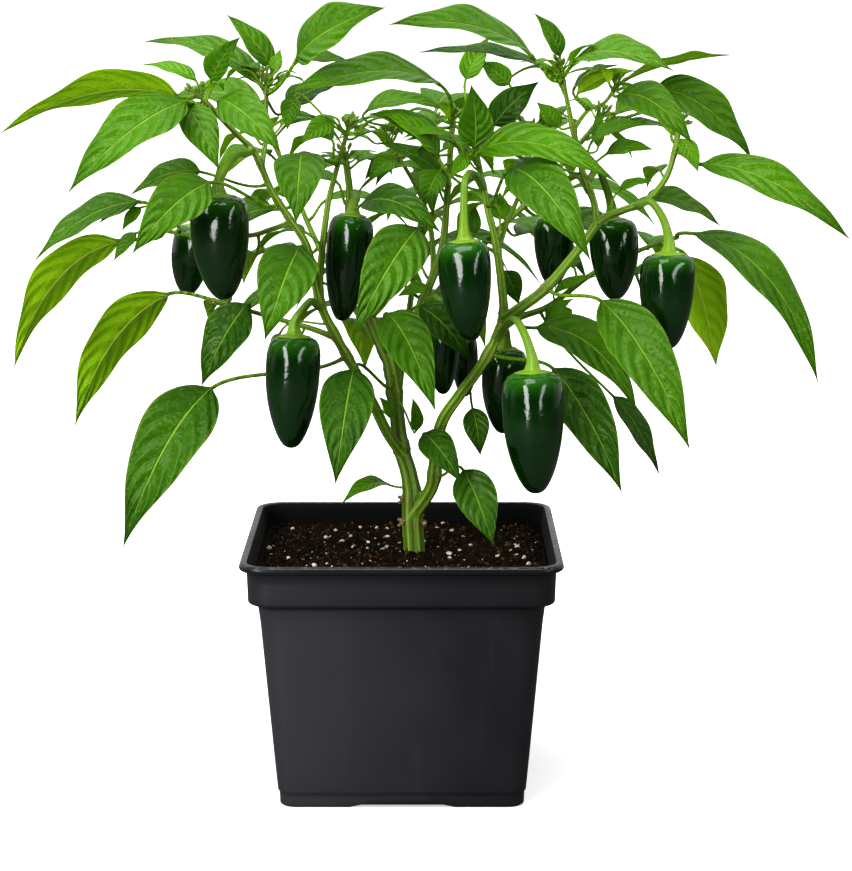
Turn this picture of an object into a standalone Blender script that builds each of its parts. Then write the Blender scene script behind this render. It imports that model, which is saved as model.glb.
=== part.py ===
"""Potted chilli pepper plant: square nursery pot, potting soil, woody stems, pods and main leaves.

Origin: middle of the pot's underside. +Z up, -Y is the front. Lengths in the tables are millimetres.
"""
import math

import bmesh
import bpy
from mathutils import Vector

MM = 0.001

# ---- driving dimensions, millimetres --------------------------------------------------------------
POT_HEIGHT = 128.0
RIM_HALF = 80.0            # half the width over the rolled lip
LIP_HEIGHT = 4.0
COLLAR_HALF = 76.0
COLLAR_HEIGHT = 15.0       # straight band under the lip
BODY_TOP_HALF = 71.0
BODY_FOOT_HALF = 61.6
FOOT_BAND = 8.0            # plain band below the ridge near the foot
POT_WALL = 1.7
POT_FLOOR = 3.0
CORNER = 11.0              # outer corner radius of the collar
CORNER_STEPS = 4
ARCH_WIDTH = 46.0          # drain arches in the middle of each bottom edge
ARCH_HEIGHT = 1.5
ARCH_DEPTH = 15.0
DRAIN_PLACE = 37.0
DRAIN_RADIUS = 4.5

SOIL_LEVEL = 118.0
SOIL_CROWN = 1.2           # the soil is a little higher round the trunk
SEAT_GAP = 0.35            # clearance between touching pieces
TRUNK_SEAT = (6.0, 0.0, 94.0)
TRUNK_RADIUS = 5.4

STEM_SIDES = 8
STEM_STEP = 13.0           # distance between the rings of a stem
POD_SIDES = 10
PEDICEL_RADIUS = 2.1
CALYX_RADIUS = 6.0
PETIOLE_RADIUS = 1.0
RIB_THICKNESS = 1.2        # blade thickness along the midrib
BLADE_RINGS = 10
PETIOLE_RINGS = 5

# ---- stems: name, parent, radius at the start and the end, route ----------------------------------
STEMS = (
    ("trunk", None, 5.4, 5.0,
     (TRUNK_SEAT, (6, 0, 118), (5, 0, 136), (5, 0, 149))),
    ("left_leader", "trunk", 4.3, 1.7,
     ((5, 0, 149), (3, 1, 160), (-1, 3, 174), (-4, 6, 199), (-7, 9, 216), (-13, 12, 229), (-20, 16, 247),
      (-25, 20, 266), (-28, 22, 284), (-27, 22, 300), (-29, 20, 319))),
    ("right_leader", "trunk", 3.6, 1.5,
     ((6, 0, 142), (15, -4, 153), (17, -6, 168), (20, -8, 187), (29, -12, 202), (39, -14, 216),
      (47, -17, 231), (51, -18, 243), (50, -16, 260), (47, -14, 281), (43, -12, 297), (37, -8, 326))),
    ("left_branch", "left_leader", 2.9, 1.3,
     ((-1, 3, 173), (-8, -5, 182), (-15, -11, 198), (-25, -17, 218), (-34, -20, 235), (-41, -22, 251),
      (-47, -26, 279), (-56, -28, 294), (-64, -30, 307), (-72, -33, 326), (-80, -36, 335),
      (-97, -40, 353))),
    ("left_upper_branch", "left_branch", 2.0, 1.2,
     ((-41, -22, 252), (-41, -14, 266), (-38, -12, 293), (-35, -11, 308), (-27, -9, 336))),
    ("left_top_twig", "left_branch", 1.5, 1.0,
     ((-70, -32, 321), (-67, -22, 334), (-67, -19, 347), (-67, -16, 359))),
    ("left_low_twig", "left_branch", 1.7, 1.0,
     ((-34, -20, 234), (-46, -10, 236), (-61, -8, 240), (-77, -10, 245), (-95, -14, 251))),
    ("left_middle_twig", "left_branch", 1.5, 1.0,
     ((-56, -28, 293), (-66, -20, 287), (-77, -18, 284), (-102, -18, 284), (-121, -20, 287))),
    ("centre_leader", "left_leader", 2.9, 1.4,
     ((-4, 6, 199), (-1, 16, 214), (6, 26, 235), (16, 34, 258), (21, 38, 275), (23, 40, 297),
      (26, 34, 339))),
    ("centre_twig", "centre_leader", 1.7, 1.0,
     ((17, 35, 261), (15, 46, 278), (10, 54, 296), (0, 60, 314), (-8, 64, 327))),
    ("right_branch", "right_leader", 2.9, 1.3,
     ((51, -18, 244), (60, -25, 249), (72, -28, 259), (88, -32, 279), (98, -34, 293), (109, -34, 298),
      (121, -34, 303), (130, -34, 314), (134, -33, 326), (136, -32, 338))),
    ("right_upper_branch", "right_branch", 1.9, 1.1,
     ((98, -34, 293), (95, -29, 302), (89, -26, 318), (85, -22, 336), (79, -18, 365))),
    ("right_top_twig", "right_upper_branch", 1.2, 0.9,
     ((84, -22, 338), (92, -20, 346), (100, -22, 350), (105, -24, 357))),
    ("right_fork", "right_leader", 1.5, 1.0,
     ((48, -14, 277), (53, -4, 289), (59, 2, 302), (64, 6, 317), (66, 8, 333))),
    ("rear_right_branch", "right_leader", 1.9, 1.1,
     ((50, -18, 239), (60, -4, 241), (76, 12, 245), (98, 16, 261), (122, 16, 273), (142, 16, 280))),
    ("back_left_branch", "left_leader", 2.2, 1.2,
     ((-6, 8, 211), (-13, 30, 223), (-29, 55, 243), (-48, 80, 273), (-62, 95, 304), (-73, 100, 328))),
    ("back_right_branch", "centre_leader", 2.2, 1.2,
     ((5, 25, 233), (19, 50, 248), (41, 75, 268), (69, 92, 293), (94, 100, 320), (107, 104, 336))),
    ("back_centre_branch", "centre_leader", 1.9, 1.1,
     ((0, 17, 217), (3, 48, 236), (8, 85, 272), (11, 105, 304), (13, 112, 331))),
)

# ---- pods: name, stem, place along it, pedicel way points, shoulder, tip, radius --------------------
PEPPERS = (
    ("pepper_1", "left_branch", 0.84, ((-80, -42, 326), (-86, -44, 319)), (-89, -44, 306),
     (-87, -46, 255), 14.6),
    ("pepper_2", "left_middle_twig", 0.64, ((-99, -6, 293), (-102, 4, 293)), (-105, 10, 286),
     (-111, 14, 250), 10.5),
    ("pepper_3", "left_branch", 0.44, ((-45, -35, 253), (-50, -42, 248)), (-53, -43, 237),
     (-55, -46, 181), 13.6),
    ("pepper_4", "left_leader", 0.87, ((-24, 12, 303), (-23, 2, 301)), (-25, -3, 293),
     (-31, -5, 239), 11.5),
    ("pepper_5", "right_leader", 0.91, ((35, -30, 316), (31, -48, 313)), (31, -54, 285),
     (34, -56, 236), 13.0),
    ("pepper_6", "right_leader", 0.54, ((55, -42, 245), (60, -58, 240)), (64, -62, 222),
     (66, -66, 162), 15.0),
    ("pepper_7", "right_upper_branch", 0.23, ((88, -8, 313), (81, 6, 307)), (77, 10, 291),
     (77, 12, 255), 10.5),
    ("pepper_8", "right_upper_branch", 0.3, ((98, -16, 317), (103, -8, 306)), (106, -4, 291),
     (108, -6, 250), 12.5),
    ("pepper_9", "right_branch", 0.68, ((122, -42, 303), (128, -45, 295)), (131, -46, 278),
     (131, -48, 231), 13.4),
    ("pepper_10", "right_leader", 0.48, ((50, 2, 235), (53, 8, 232)), (53, 10, 223),
     (52, 12, 178), 11.5),
    ("pepper_11", "centre_leader", 0.38, ((17, 24, 248), (21, 20, 243)), (21, 20, 231),
     (21, 22, 197), 8.6),
    ("pepper_12", "back_right_branch", 0.14, ((27, 54, 243), (30, 58, 236)), (31, 60, 225),
     (33, 62, 189), 7.6),
)

# ---- leaves: name, stem, place along it, blade base, blade tip, width, turn, bow, fold ---------------
# turn: 0 faces the front, 90 faces the sky, 180 shows its underside to the front (degrees).
# bow: height of the midrib's arch over its length. fold: how far the halves rise (degrees).
LEAVES = (
    ("leaf_far_left_top", "left_branch", 0.99, (-109, -38, 354), (-195, -50, 336), 34, 118, 0.12, 12),
    ("leaf_left_top_front", "left_branch", 0.97, (-104, -52, 352), (-156, -96, 311), 34, 52, 0.08, 14),
    ("leaf_top_left_raised", "left_top_twig", 0.89, (-51, -26, 372), (-7, -62, 397), 32, 38, 0.07, 14),
    ("leaf_top_left_long", "centre_leader", 0.98, (18, -8, 359), (-57, -58, 355), 36, 62, 0.10, 14),
    ("leaf_top_centre_long", "right_upper_branch", 0.94, (64, -26, 373), (-6, -72, 389), 34, 60, 0.10, 14),
    ("leaf_top_right_front", "right_upper_branch", 0.97, (85, -28, 371), (130, -72, 367), 28, 62, 0.11, 14),
    ("leaf_top_right_pointed", "right_top_twig", 0.95, (110, -20, 361), (164, -6, 373), 30, 104, 0.05, 12),
    ("leaf_right_top_rear", "right_branch", 0.98, (126, -16, 357), (175, -14, 321), 34, 40, 0.13, 14),
    ("leaf_far_right_top", "right_branch", 0.92, (147, -40, 321), (217, -66, 286), 32, 50, 0.11, 14),
    ("leaf_far_right_arching", "rear_right_branch", 0.99, (150, 10, 282), (210, -22, 208), 34, 50, 0.18, 14),
    ("leaf_right_hanging", "rear_right_branch", 0.92, (145, 4, 271), (161, 2, 214), 34, 140, 0.04, 8),
    ("leaf_right_front_large", "right_branch", 0.22, (98, -50, 255), (139, -88, 187), 32, 22, 0.10, 12),
    ("leaf_right_low", "right_leader", 0.49, (76, -28, 218), (109, -58, 160), 32, 28, 0.08, 12),
    ("leaf_left_low_pointed", "left_low_twig", 0.99, (-118, -14, 254), (-166, -18, 186), 34, 138, 0.12, 10),
    ("leaf_far_left_middle", "left_middle_twig", 0.97, (-141, -24, 282), (-195, -24, 217), 34, 130, 0.15, 12),
    ("leaf_left_lowest", "left_branch", 0.30, (-94, -46, 211), (-134, -92, 140), 38, 30, 0.12, 12),
    ("leaf_far_left_upper", "left_middle_twig", 0.86, (-130, -32, 302), (-181, -40, 273), 28, 60, 0.11, 14),
    ("leaf_left_front_round", "left_branch", 0.70, (-92, -64, 314), (-126, -98, 283), 30, 22, 0.10, 12),
    ("leaf_centre_front_large", "left_leader", 0.53, (8, -34, 289), (-23, -88, 243), 33, 14, 0.08, 12),
    ("leaf_left_centre_front", "left_branch", 0.52, (-50, -44, 281), (-65, -84, 240), 32, 12, 0.08, 12),
    ("leaf_left_centre_low", "left_leader", 0.31, (-24, -36, 219), (-32, -76, 168), 30, 14, 0.08, 12),
    ("leaf_centre_middle", "left_leader", 0.42, (-7, -22, 245), (17, -64, 202), 27, 24, 0.12, 12),
    ("leaf_centre_lowest", "right_leader", 0.13, (31, -26, 166), (46, -42, 130), 24, 16, 0.06, 10),
    ("leaf_back_left_high", "back_left_branch", 0.95, (-78, 108, 338), (-138, 128, 336), 34, 70, 0.20, 12),
    ("leaf_back_left_low", "back_left_branch", 0.76, (-72, 104, 286), (-118, 130, 236), 34, 60, 0.18, 12),
    ("leaf_back_high", "back_centre_branch", 0.92, (18, 124, 340), (34, 176, 326), 34, 85, 0.22, 12),
    ("leaf_back_right_high", "back_right_branch", 0.92, (116, 112, 338), (174, 132, 330), 34, 70, 0.20, 12),
    ("leaf_back_right_low", "back_right_branch", 0.63, (86, 106, 280), (134, 134, 232), 34, 60, 0.18, 12),
)


# ---- small tools ------------------------------------------------------------------------------------
def clear_scene():
    for item in list(bpy.data.objects):
        bpy.data.objects.remove(item, do_unlink=True)


def make_material(name, colour, roughness):
    material = bpy.data.materials.new(name)
    material.use_nodes = True
    shader = material.node_tree.nodes["Principled BSDF"]
    shader.inputs["Base Color"].default_value = (*colour, 1.0)
    shader.inputs["Roughness"].default_value = roughness
    shader.inputs["Metallic"].default_value = 0.0
    return material


def loft(name, rings, material, smooth_angle=40.0):
    """Skin a list of equal rings into one closed body; a ring of one point closes to a tip."""
    mesh = bpy.data.meshes.new(name)
    work = bmesh.new()
    loops = [[work.verts.new(point * MM) for point in ring] for ring in rings]
    for low, high in zip(loops, loops[1:]):
        count = max(len(low), len(high))
        for i in range(count):
            j = (i + 1) % count
            corners = [low[i], low[j]] if len(low) > 1 else [low[0]]
            corners += [high[j], high[i]] if len(high) > 1 else [high[0]]
            work.faces.new(corners)
    for loop in (loops[0], loops[-1]):
        if len(loop) > 2:
            work.faces.new(loop)
    bmesh.ops.recalc_face_normals(work, faces=work.faces)
    bmesh.ops.triangulate(work, faces=work.faces)
    work.to_mesh(mesh)
    work.free()
    mesh.shade_smooth()
    mesh.set_sharp_from_angle(angle=math.radians(smooth_angle))
    mesh.materials.append(material)
    body = bpy.data.objects.new(name, mesh)
    bpy.context.scene.collection.objects.link(body)
    return body


def cut(body, cutter):
    cutter.hide_render = True
    cutter.display_type = "WIRE"
    tool = body.modifiers.new(cutter.name, "BOOLEAN")
    tool.operation = "DIFFERENCE"
    tool.object = cutter


def smooth_path(points, step):
    """Catmull-Rom curve through the points, cut into even lengths of about one step."""
    knots = [Vector(point) for point in points]
    knots = [2 * knots[0] - knots[1], *knots, 2 * knots[-1] - knots[-2]]
    dense = []
    for a, b, c, d in zip(knots, knots[1:], knots[2:], knots[3:]):
        for k in range(12):
            t = k / 12
            dense.append(0.5 * (2 * b + (c - a) * t + (2 * a - 5 * b + 4 * c - d) * t ** 2
                                + (3 * b - a - 3 * c + d) * t ** 3))
    dense.append(knots[-2])
    return even_path(dense, step)


def even_path(dense, step):
    lengths = [0.0]
    for a, b in zip(dense, dense[1:]):
        lengths.append(lengths[-1] + (b - a).length)
    count = max(2, round(lengths[-1] / step))
    path = []
    at = 0
    for k in range(count + 1):
        want = lengths[-1] * k / count
        while at < len(dense) - 2 and lengths[at + 1] < want:
            at += 1
        span = lengths[at + 1] - lengths[at]
        path.append(dense[at].lerp(dense[at + 1], (want - lengths[at]) / span))
    return path


def path_frames(path, first_side):
    """Tangent and side at each point of a path; the side is carried along without twisting."""
    frames = []
    side = first_side
    for k, point in enumerate(path):
        ahead = path[min(k + 1, len(path) - 1)]
        behind = path[max(k - 1, 0)]
        tangent = (ahead - behind).normalized()
        side = (side - side.dot(tangent) * tangent).normalized()
        frames.append((point, tangent, side))
    return frames


def any_side(direction):
    spare = Vector((0, 0, 1)) if abs(direction.z) < 0.8 else Vector((1, 0, 0))
    return direction.cross(spare).normalized()


def round_ring(centre, tangent, side, radius, sides):
    other = tangent.cross(side)
    turns = (2 * math.pi * k / sides for k in range(sides))
    return [centre + radius * (math.cos(a) * side + math.sin(a) * other) for a in turns]


def place_on(stem, share):
    """Point, direction and radius of a finished stem at a share of its length."""
    path, start_radius, end_radius = stem
    spot = share * (len(path) - 1)
    k = min(int(spot), len(path) - 2)
    point = path[k].lerp(path[k + 1], spot - k)
    radius = start_radius + (end_radius - start_radius) * share
    return point, (path[k + 1] - path[k]).normalized(), radius


def leave_stem(stem, share, towards):
    """Start of a shoot: square to the bark, or on from the stem's end, one seat gap clear of it."""
    point, direction, radius = place_on(stem, share)
    if share == 1:
        return point + direction * SEAT_GAP, direction
    out = towards - point
    out = (out - out.dot(direction) * direction).normalized()
    return point + out * (radius + SEAT_GAP), out


def nearest_share(stem, point):
    path = stem[0]
    shares = [k / 200 for k in range(201)]
    return min(shares, key=lambda share: (place_on(stem, share)[0] - point).length)


# ---- pot and soil -----------------------------------------------------------------------------------
def square_ring(z, half, corner):
    """Rounded square, counter-clockwise from above."""
    ring = []
    inner = half - corner
    for quarter in range(4):
        turn = quarter * math.pi / 2
        centre = Vector((inner, inner, 0))
        for k in range(CORNER_STEPS + 1):
            a = k / CORNER_STEPS * math.pi / 2
            point = centre + corner * Vector((math.cos(a), math.sin(a), 0))
            x = point.x * math.cos(turn) - point.y * math.sin(turn)
            y = point.x * math.sin(turn) + point.y * math.cos(turn)
            ring.append(Vector((x, y, z)))
    return ring


def inner_profile(inset):
    """Inside of the pot from the floor to the lip, moved in by an inset: height, half width, corner."""
    collar_foot = POT_HEIGHT - LIP_HEIGHT - COLLAR_HEIGHT
    wall = POT_WALL + inset
    return (
        (POT_FLOOR + inset, BODY_FOOT_HALF - wall, CORNER - 2 - wall),
        (collar_foot - 3 + inset, BODY_TOP_HALF - wall, CORNER - 1 - wall),
        (collar_foot + 1 + inset, COLLAR_HALF - wall, CORNER - wall),
        (POT_HEIGHT - 2, COLLAR_HALF + 0.6 - wall, CORNER - wall),
    )


def make_pot(material):
    collar_foot = POT_HEIGHT - LIP_HEIGHT - COLLAR_HEIGHT
    collar_top = POT_HEIGHT - LIP_HEIGHT
    outside = (
        (0.0, BODY_FOOT_HALF - 2.2, CORNER - 4),
        (1.2, BODY_FOOT_HALF - 0.6, CORNER - 2.6),
        (FOOT_BAND - 0.4, BODY_FOOT_HALF, CORNER - 2),
        (FOOT_BAND + 0.4, BODY_FOOT_HALF + 0.8, CORNER - 1.6),
        (collar_foot - 4, BODY_TOP_HALF, CORNER - 1),
        (collar_foot - 2, BODY_TOP_HALF + 2.6, CORNER - 0.6),
        (collar_foot, COLLAR_HALF, CORNER),
        (collar_top - 0.4, COLLAR_HALF + 0.6, CORNER),
        (collar_top + 0.4, RIM_HALF - 1.0, CORNER + 1),
        (collar_top + 2.0, RIM_HALF, CORNER + 1.6),
        (POT_HEIGHT, RIM_HALF - 1.2, CORNER + 1),
        (POT_HEIGHT, COLLAR_HALF + 0.6, CORNER),
    )
    sections = list(outside) + list(reversed(inner_profile(0.0)))
    pot = loft("pot", [square_ring(*section) for section in sections], material)
    for k in range(4):
        turn = k * math.pi / 2
        centre = Vector((math.cos(turn), math.sin(turn), 0)) * (BODY_FOOT_HALF + 4 - ARCH_DEPTH)
        across = Vector((-math.sin(turn), math.cos(turn), 0)) * ARCH_WIDTH / 2
        along = Vector((math.cos(turn), math.sin(turn), 0)) * (ARCH_DEPTH + 4)
        base = [centre - across, centre + along - across, centre + along + across, centre + across]
        rings = [[p + Vector((0, 0, z)) for p in base] for z in (-2.0, ARCH_HEIGHT)]
        cut(pot, loft("arch_cutter_%d" % k, rings, material))
    for k in range(4):
        x = DRAIN_PLACE * (1 if k % 2 else -1)
        y = DRAIN_PLACE * (1 if k > 1 else -1)
        up = Vector((0, 0, 1))
        rings = [round_ring(Vector((x, y, z)), up, Vector((1, 0, 0)), DRAIN_RADIUS, 12)
                 for z in (-2.0, POT_FLOOR + 2)]
        cut(pot, loft("drain_cutter_%d" % k, rings, material))
    return pot


def make_soil(material):
    sections = list(inner_profile(SEAT_GAP)[:3])
    edge = sections[-1][1]
    sections.append((SOIL_LEVEL - SOIL_CROWN, edge, CORNER - POT_WALL - SEAT_GAP))
    sections.append((SOIL_LEVEL - SOIL_CROWN / 2, edge * 0.8, CORNER))
    sections.append((SOIL_LEVEL, edge * 0.35, CORNER))
    soil = loft("soil", [square_ring(*section) for section in sections], material)
    seat = Vector(TRUNK_SEAT) - Vector((0, 0, SEAT_GAP))
    up = Vector((0, 0, 1))
    heights = (0, POT_HEIGHT - seat.z)
    rings = [round_ring(seat + up * h, up, Vector((1, 0, 0)), TRUNK_RADIUS + 0.5, 16) for h in heights]
    cut(soil, loft("trunk_socket_cutter", rings, material))
    return soil


# ---- plant ------------------------------------------------------------------------------------------
def make_stems(material):
    stems = {}
    for name, parent, start_radius, end_radius, route in STEMS:
        points = [Vector(point) for point in route]
        out = Vector((0, 0, 1))
        if parent:
            share = nearest_share(stems[parent], points[0])
            start, out = leave_stem(stems[parent], share, points[1])
            points[0:1] = [start, start + out * start_radius]
        path = smooth_path(points, STEM_STEP)
        if parent:
            path[1:2] = [start + out * 0.8 * start_radius, path[1]]
        stems[name] = (path, start_radius, end_radius)
        frames = path_frames(path, any_side(path[1] - path[0]))
        rings = []
        for k, (point, tangent, side) in enumerate(frames):
            if k == 0:
                tangent = out
                side = (side - side.dot(out) * out).normalized()
            radius = start_radius + (end_radius - start_radius) * k / (len(frames) - 1)
            rings.append(round_ring(point, tangent, side, radius, STEM_SIDES))
        loft(name, rings, material)
    return stems


POD_PROFILE = (            # share of the pod's length, share of its radius
    (0.00, 0.62), (0.03, 0.82), (0.10, 0.95), (0.25, 1.0), (0.45, 0.97), (0.65, 0.84),
    (0.80, 0.66), (0.91, 0.44), (0.97, 0.24),
)


def make_pepper(row, stems, material):
    """Pedicel, calyx and pod, lofted as the single piece that they are."""
    name, stem, share, way, shoulder, tip, radius = row
    shoulder = Vector(shoulder)
    tip = Vector(tip)
    axis = (tip - shoulder).normalized()
    start, out = leave_stem(stems[stem], share, Vector(way[0]))
    neck = shoulder - axis * 5
    route = [start, start + out * 3, *way, neck, shoulder]
    path = smooth_path(route, 8.0)
    frames = path_frames(path, any_side(out))
    rings = []
    last = len(frames) - 1
    for k, (point, tangent, side) in enumerate(frames[:-1]):
        if k == 0:
            tangent = out
            side = (side - side.dot(out) * out).normalized()
        flare = max(0.0, k / last - 0.6) * 2.2
        rings.append(round_ring(point, tangent, side, PEDICEL_RADIUS * (1 + flare), POD_SIDES))
    side = frames[-1][2]
    side = (side - side.dot(axis) * axis).normalized()
    rings.append(round_ring(shoulder - axis * 0.8, axis, side, CALYX_RADIUS * radius / 14, POD_SIDES))
    for along, wide in POD_PROFILE:
        centre = shoulder.lerp(tip, along)
        rings.append(round_ring(centre, axis, side, radius * wide, POD_SIDES))
    rings.append([tip])
    return loft(name, rings, material)


def bezier(a, b, c, d, t):
    s = 1 - t
    return a * s ** 3 + b * 3 * s * s * t + c * 3 * s * t * t + d * t ** 3


def blade_width(t):
    """Ovate blade with a drawn-out tip: 1 at its widest, about a third of the way along."""
    return (t / 0.34) ** 0.65 * ((1 - t) / 0.66) ** 1.26


def make_leaf(row, stems, material):
    """Petiole and blade as one loft: left edge, midrib top, right edge, midrib underside."""
    name, stem, share, base, tip, width, turn, bow, fold = row
    base = Vector(base)
    tip = Vector(tip)
    chord = tip - base
    along = chord.normalized()
    front = Vector((0, -1, 0))
    front = (front - front.dot(along) * along).normalized()
    sky = Vector((0, 0, 1))
    sky = (sky - sky.dot(along) * along).normalized()
    turn = math.radians(turn)
    face = (front * math.cos(turn) + sky * math.sin(turn)).normalized()
    lift = (face + sky).normalized() * bow * chord.length
    knee = base + chord * 0.28 + lift * 1.45
    droop = base + chord * 0.68 + lift * 1.1
    start, out = leave_stem(stems[stem], share, base.lerp(knee, -0.2))
    reach = (base - start).length
    pull = (knee - base).normalized() * reach * 0.35
    shares = [k / PETIOLE_RINGS for k in range(PETIOLE_RINGS)]
    path = [bezier(start, start + out * reach * 0.3, base - pull, base, t) for t in shares]
    steps = [(k / BLADE_RINGS) ** 1.15 for k in range(BLADE_RINGS + 1)]
    path += [bezier(base, knee, droop, tip, t) for t in steps]
    side = (knee - base).cross(face).normalized()
    frames = path_frames(path[PETIOLE_RINGS:], side)
    stalk = path_frames(list(reversed(path[:PETIOLE_RINGS + 1])), side)[1:]
    rings = []
    for k, (point, tangent, side) in enumerate(reversed(stalk)):
        tangent = out if k == 0 else -tangent
        side = (side - side.dot(tangent) * tangent).normalized()
        up = side.cross(tangent)
        rings.append([point - side * PETIOLE_RADIUS, point + up * PETIOLE_RADIUS,
                      point + side * PETIOLE_RADIUS, point - up * PETIOLE_RADIUS])
    rise = math.radians(fold)
    for t, (point, tangent, side) in zip(steps[:-1], frames[:-1]):
        side = tangent.cross(face)
        side = side.normalized()
        up = side.cross(tangent)
        half = max(PETIOLE_RADIUS, 0.5 * width * blade_width(t))
        thick = RIB_THICKNESS * (1 - 0.6 * t) / 2
        flat = half * math.cos(rise)
        high = half * math.sin(rise)
        rings.append([point - side * flat + up * high, point + up * thick,
                      point + side * flat + up * high, point - up * thick])
    rings.append([tip])
    return loft(name, rings, material)


def main():
    clear_scene()
    make_pot(make_material("pot_plastic", (0.035, 0.036, 0.040), 0.42))
    make_soil(make_material("potting_soil", (0.022, 0.014, 0.010), 0.95))
    stems = make_stems(make_material("stem_bark", (0.10, 0.22, 0.03), 0.55))
    pod_skin = make_material("pod_skin", (0.008, 0.045, 0.010), 0.18)
    leaf_green = make_material("leaf_green", (0.06, 0.24, 0.02), 0.45)
    for row in PEPPERS:
        make_pepper(row, stems, pod_skin)
    for row in LEAVES:
        make_leaf(row, stems, leaf_green)


main()
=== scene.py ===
# %% [markdown]
# # A potted chilli pepper plant
# A square nursery pot of potting soil, a forked green plant, dark glossy pods and pointed leaves.
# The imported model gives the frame: every piece here is made in metres where its solid stands.
# The solids stay for collision. What is seen is modelled again, finer, round the same stem routes.

# %% Load the frame
import math

import bmesh
import bpy
import numpy as np
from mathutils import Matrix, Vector, noise
from mathutils.kdtree import KDTree


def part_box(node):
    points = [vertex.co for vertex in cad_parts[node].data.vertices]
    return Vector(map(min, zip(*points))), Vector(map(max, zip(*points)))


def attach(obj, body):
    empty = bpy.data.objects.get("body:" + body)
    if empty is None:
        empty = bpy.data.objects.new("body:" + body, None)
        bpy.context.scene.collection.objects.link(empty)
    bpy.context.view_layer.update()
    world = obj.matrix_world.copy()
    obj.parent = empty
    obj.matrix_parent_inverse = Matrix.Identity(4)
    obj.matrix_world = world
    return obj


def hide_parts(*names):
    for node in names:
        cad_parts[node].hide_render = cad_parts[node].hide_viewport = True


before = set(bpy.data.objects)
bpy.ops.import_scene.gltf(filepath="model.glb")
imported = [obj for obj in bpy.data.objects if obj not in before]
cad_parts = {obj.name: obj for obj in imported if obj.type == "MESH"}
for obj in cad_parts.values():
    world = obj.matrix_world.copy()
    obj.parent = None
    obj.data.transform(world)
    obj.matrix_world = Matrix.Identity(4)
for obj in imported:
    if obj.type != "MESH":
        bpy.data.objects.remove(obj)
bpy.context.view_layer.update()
MM = 0.001

# %% [markdown]
# ## The plant's layout
# A plant has no symmetry to exploit, so its layout is a short table: where each stem runs, where each
# pod hangs and where each blade starts and ends. These are the rows that the solids were made from,
# in whole millimetres, so that both models share one skeleton. Leaf columns: stem, place along it,
# blade base, blade tip, width, turn (0 faces the front, 90 the sky, 180 shows the underside to the
# front), bow of the midrib and fold of the two halves.

# %% Stems
STEMS = (
    ("trunk", None, 5.4, 5.0,
     ((6, 0, 94), (6, 0, 118), (5, 0, 136), (5, 0, 149))),
    ("left_leader", "trunk", 4.3, 1.7,
     ((5, 0, 149), (3, 1, 160), (-1, 3, 174), (-4, 6, 199), (-7, 9, 216), (-13, 12, 229), (-20, 16, 247),
      (-25, 20, 266), (-28, 22, 284), (-27, 22, 300), (-29, 20, 319))),
    ("right_leader", "trunk", 3.6, 1.5,
     ((6, 0, 142), (15, -4, 153), (17, -6, 168), (20, -8, 187), (29, -12, 202), (39, -14, 216),
      (47, -17, 231), (51, -18, 243), (50, -16, 260), (47, -14, 281), (43, -12, 297), (37, -8, 326))),
    ("left_branch", "left_leader", 2.9, 1.3,
     ((-1, 3, 173), (-8, -5, 182), (-15, -11, 198), (-25, -17, 218), (-34, -20, 235), (-41, -22, 251),
      (-47, -26, 279), (-56, -28, 294), (-64, -30, 307), (-72, -33, 326), (-80, -36, 335),
      (-97, -40, 353))),
    ("left_upper_branch", "left_branch", 2.0, 1.2,
     ((-41, -22, 252), (-41, -14, 266), (-38, -12, 293), (-35, -11, 308), (-27, -9, 336))),
    ("left_top_twig", "left_branch", 1.5, 1.0,
     ((-70, -32, 321), (-67, -22, 334), (-67, -19, 347), (-67, -16, 359))),
    ("left_low_twig", "left_branch", 1.7, 1.0,
     ((-34, -20, 234), (-46, -10, 236), (-61, -8, 240), (-77, -10, 245), (-95, -14, 251))),
    ("left_middle_twig", "left_branch", 1.5, 1.0,
     ((-56, -28, 293), (-66, -20, 287), (-77, -18, 284), (-102, -18, 284), (-121, -20, 287))),
    ("centre_leader", "left_leader", 2.9, 1.4,
     ((-4, 6, 199), (-1, 16, 214), (6, 26, 235), (16, 34, 258), (21, 38, 275), (23, 40, 297),
      (26, 34, 339))),
    ("centre_twig", "centre_leader", 1.7, 1.0,
     ((17, 35, 261), (15, 46, 278), (10, 54, 296), (0, 60, 314), (-8, 64, 327))),
    ("right_branch", "right_leader", 2.9, 1.3,
     ((51, -18, 244), (60, -25, 249), (72, -28, 259), (88, -32, 279), (98, -34, 293), (109, -34, 298),
      (121, -34, 303), (130, -34, 314), (134, -33, 326), (136, -32, 338))),
    ("right_upper_branch", "right_branch", 1.9, 1.1,
     ((98, -34, 293), (95, -29, 302), (89, -26, 318), (85, -22, 336), (79, -18, 365))),
    ("right_top_twig", "right_upper_branch", 1.2, 0.9,
     ((84, -22, 338), (92, -20, 346), (100, -22, 350), (105, -24, 357))),
    ("right_fork", "right_leader", 1.5, 1.0,
     ((48, -14, 277), (53, -4, 289), (59, 2, 302), (64, 6, 317), (66, 8, 333))),
    ("rear_right_branch", "right_leader", 1.9, 1.1,
     ((50, -18, 239), (60, -4, 241), (76, 12, 245), (98, 16, 261), (122, 16, 273), (142, 16, 280))),
    ("back_left_branch", "left_leader", 2.2, 1.2,
     ((-6, 8, 211), (-13, 30, 223), (-29, 55, 243), (-48, 80, 273), (-62, 95, 304), (-73, 100, 328))),
    ("back_right_branch", "centre_leader", 2.2, 1.2,
     ((5, 25, 233), (19, 50, 248), (41, 75, 268), (69, 92, 293), (94, 100, 320), (107, 104, 336))),
    ("back_centre_branch", "centre_leader", 1.9, 1.1,
     ((0, 17, 217), (3, 48, 236), (8, 85, 272), (11, 105, 304), (13, 112, 331))),
)

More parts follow.
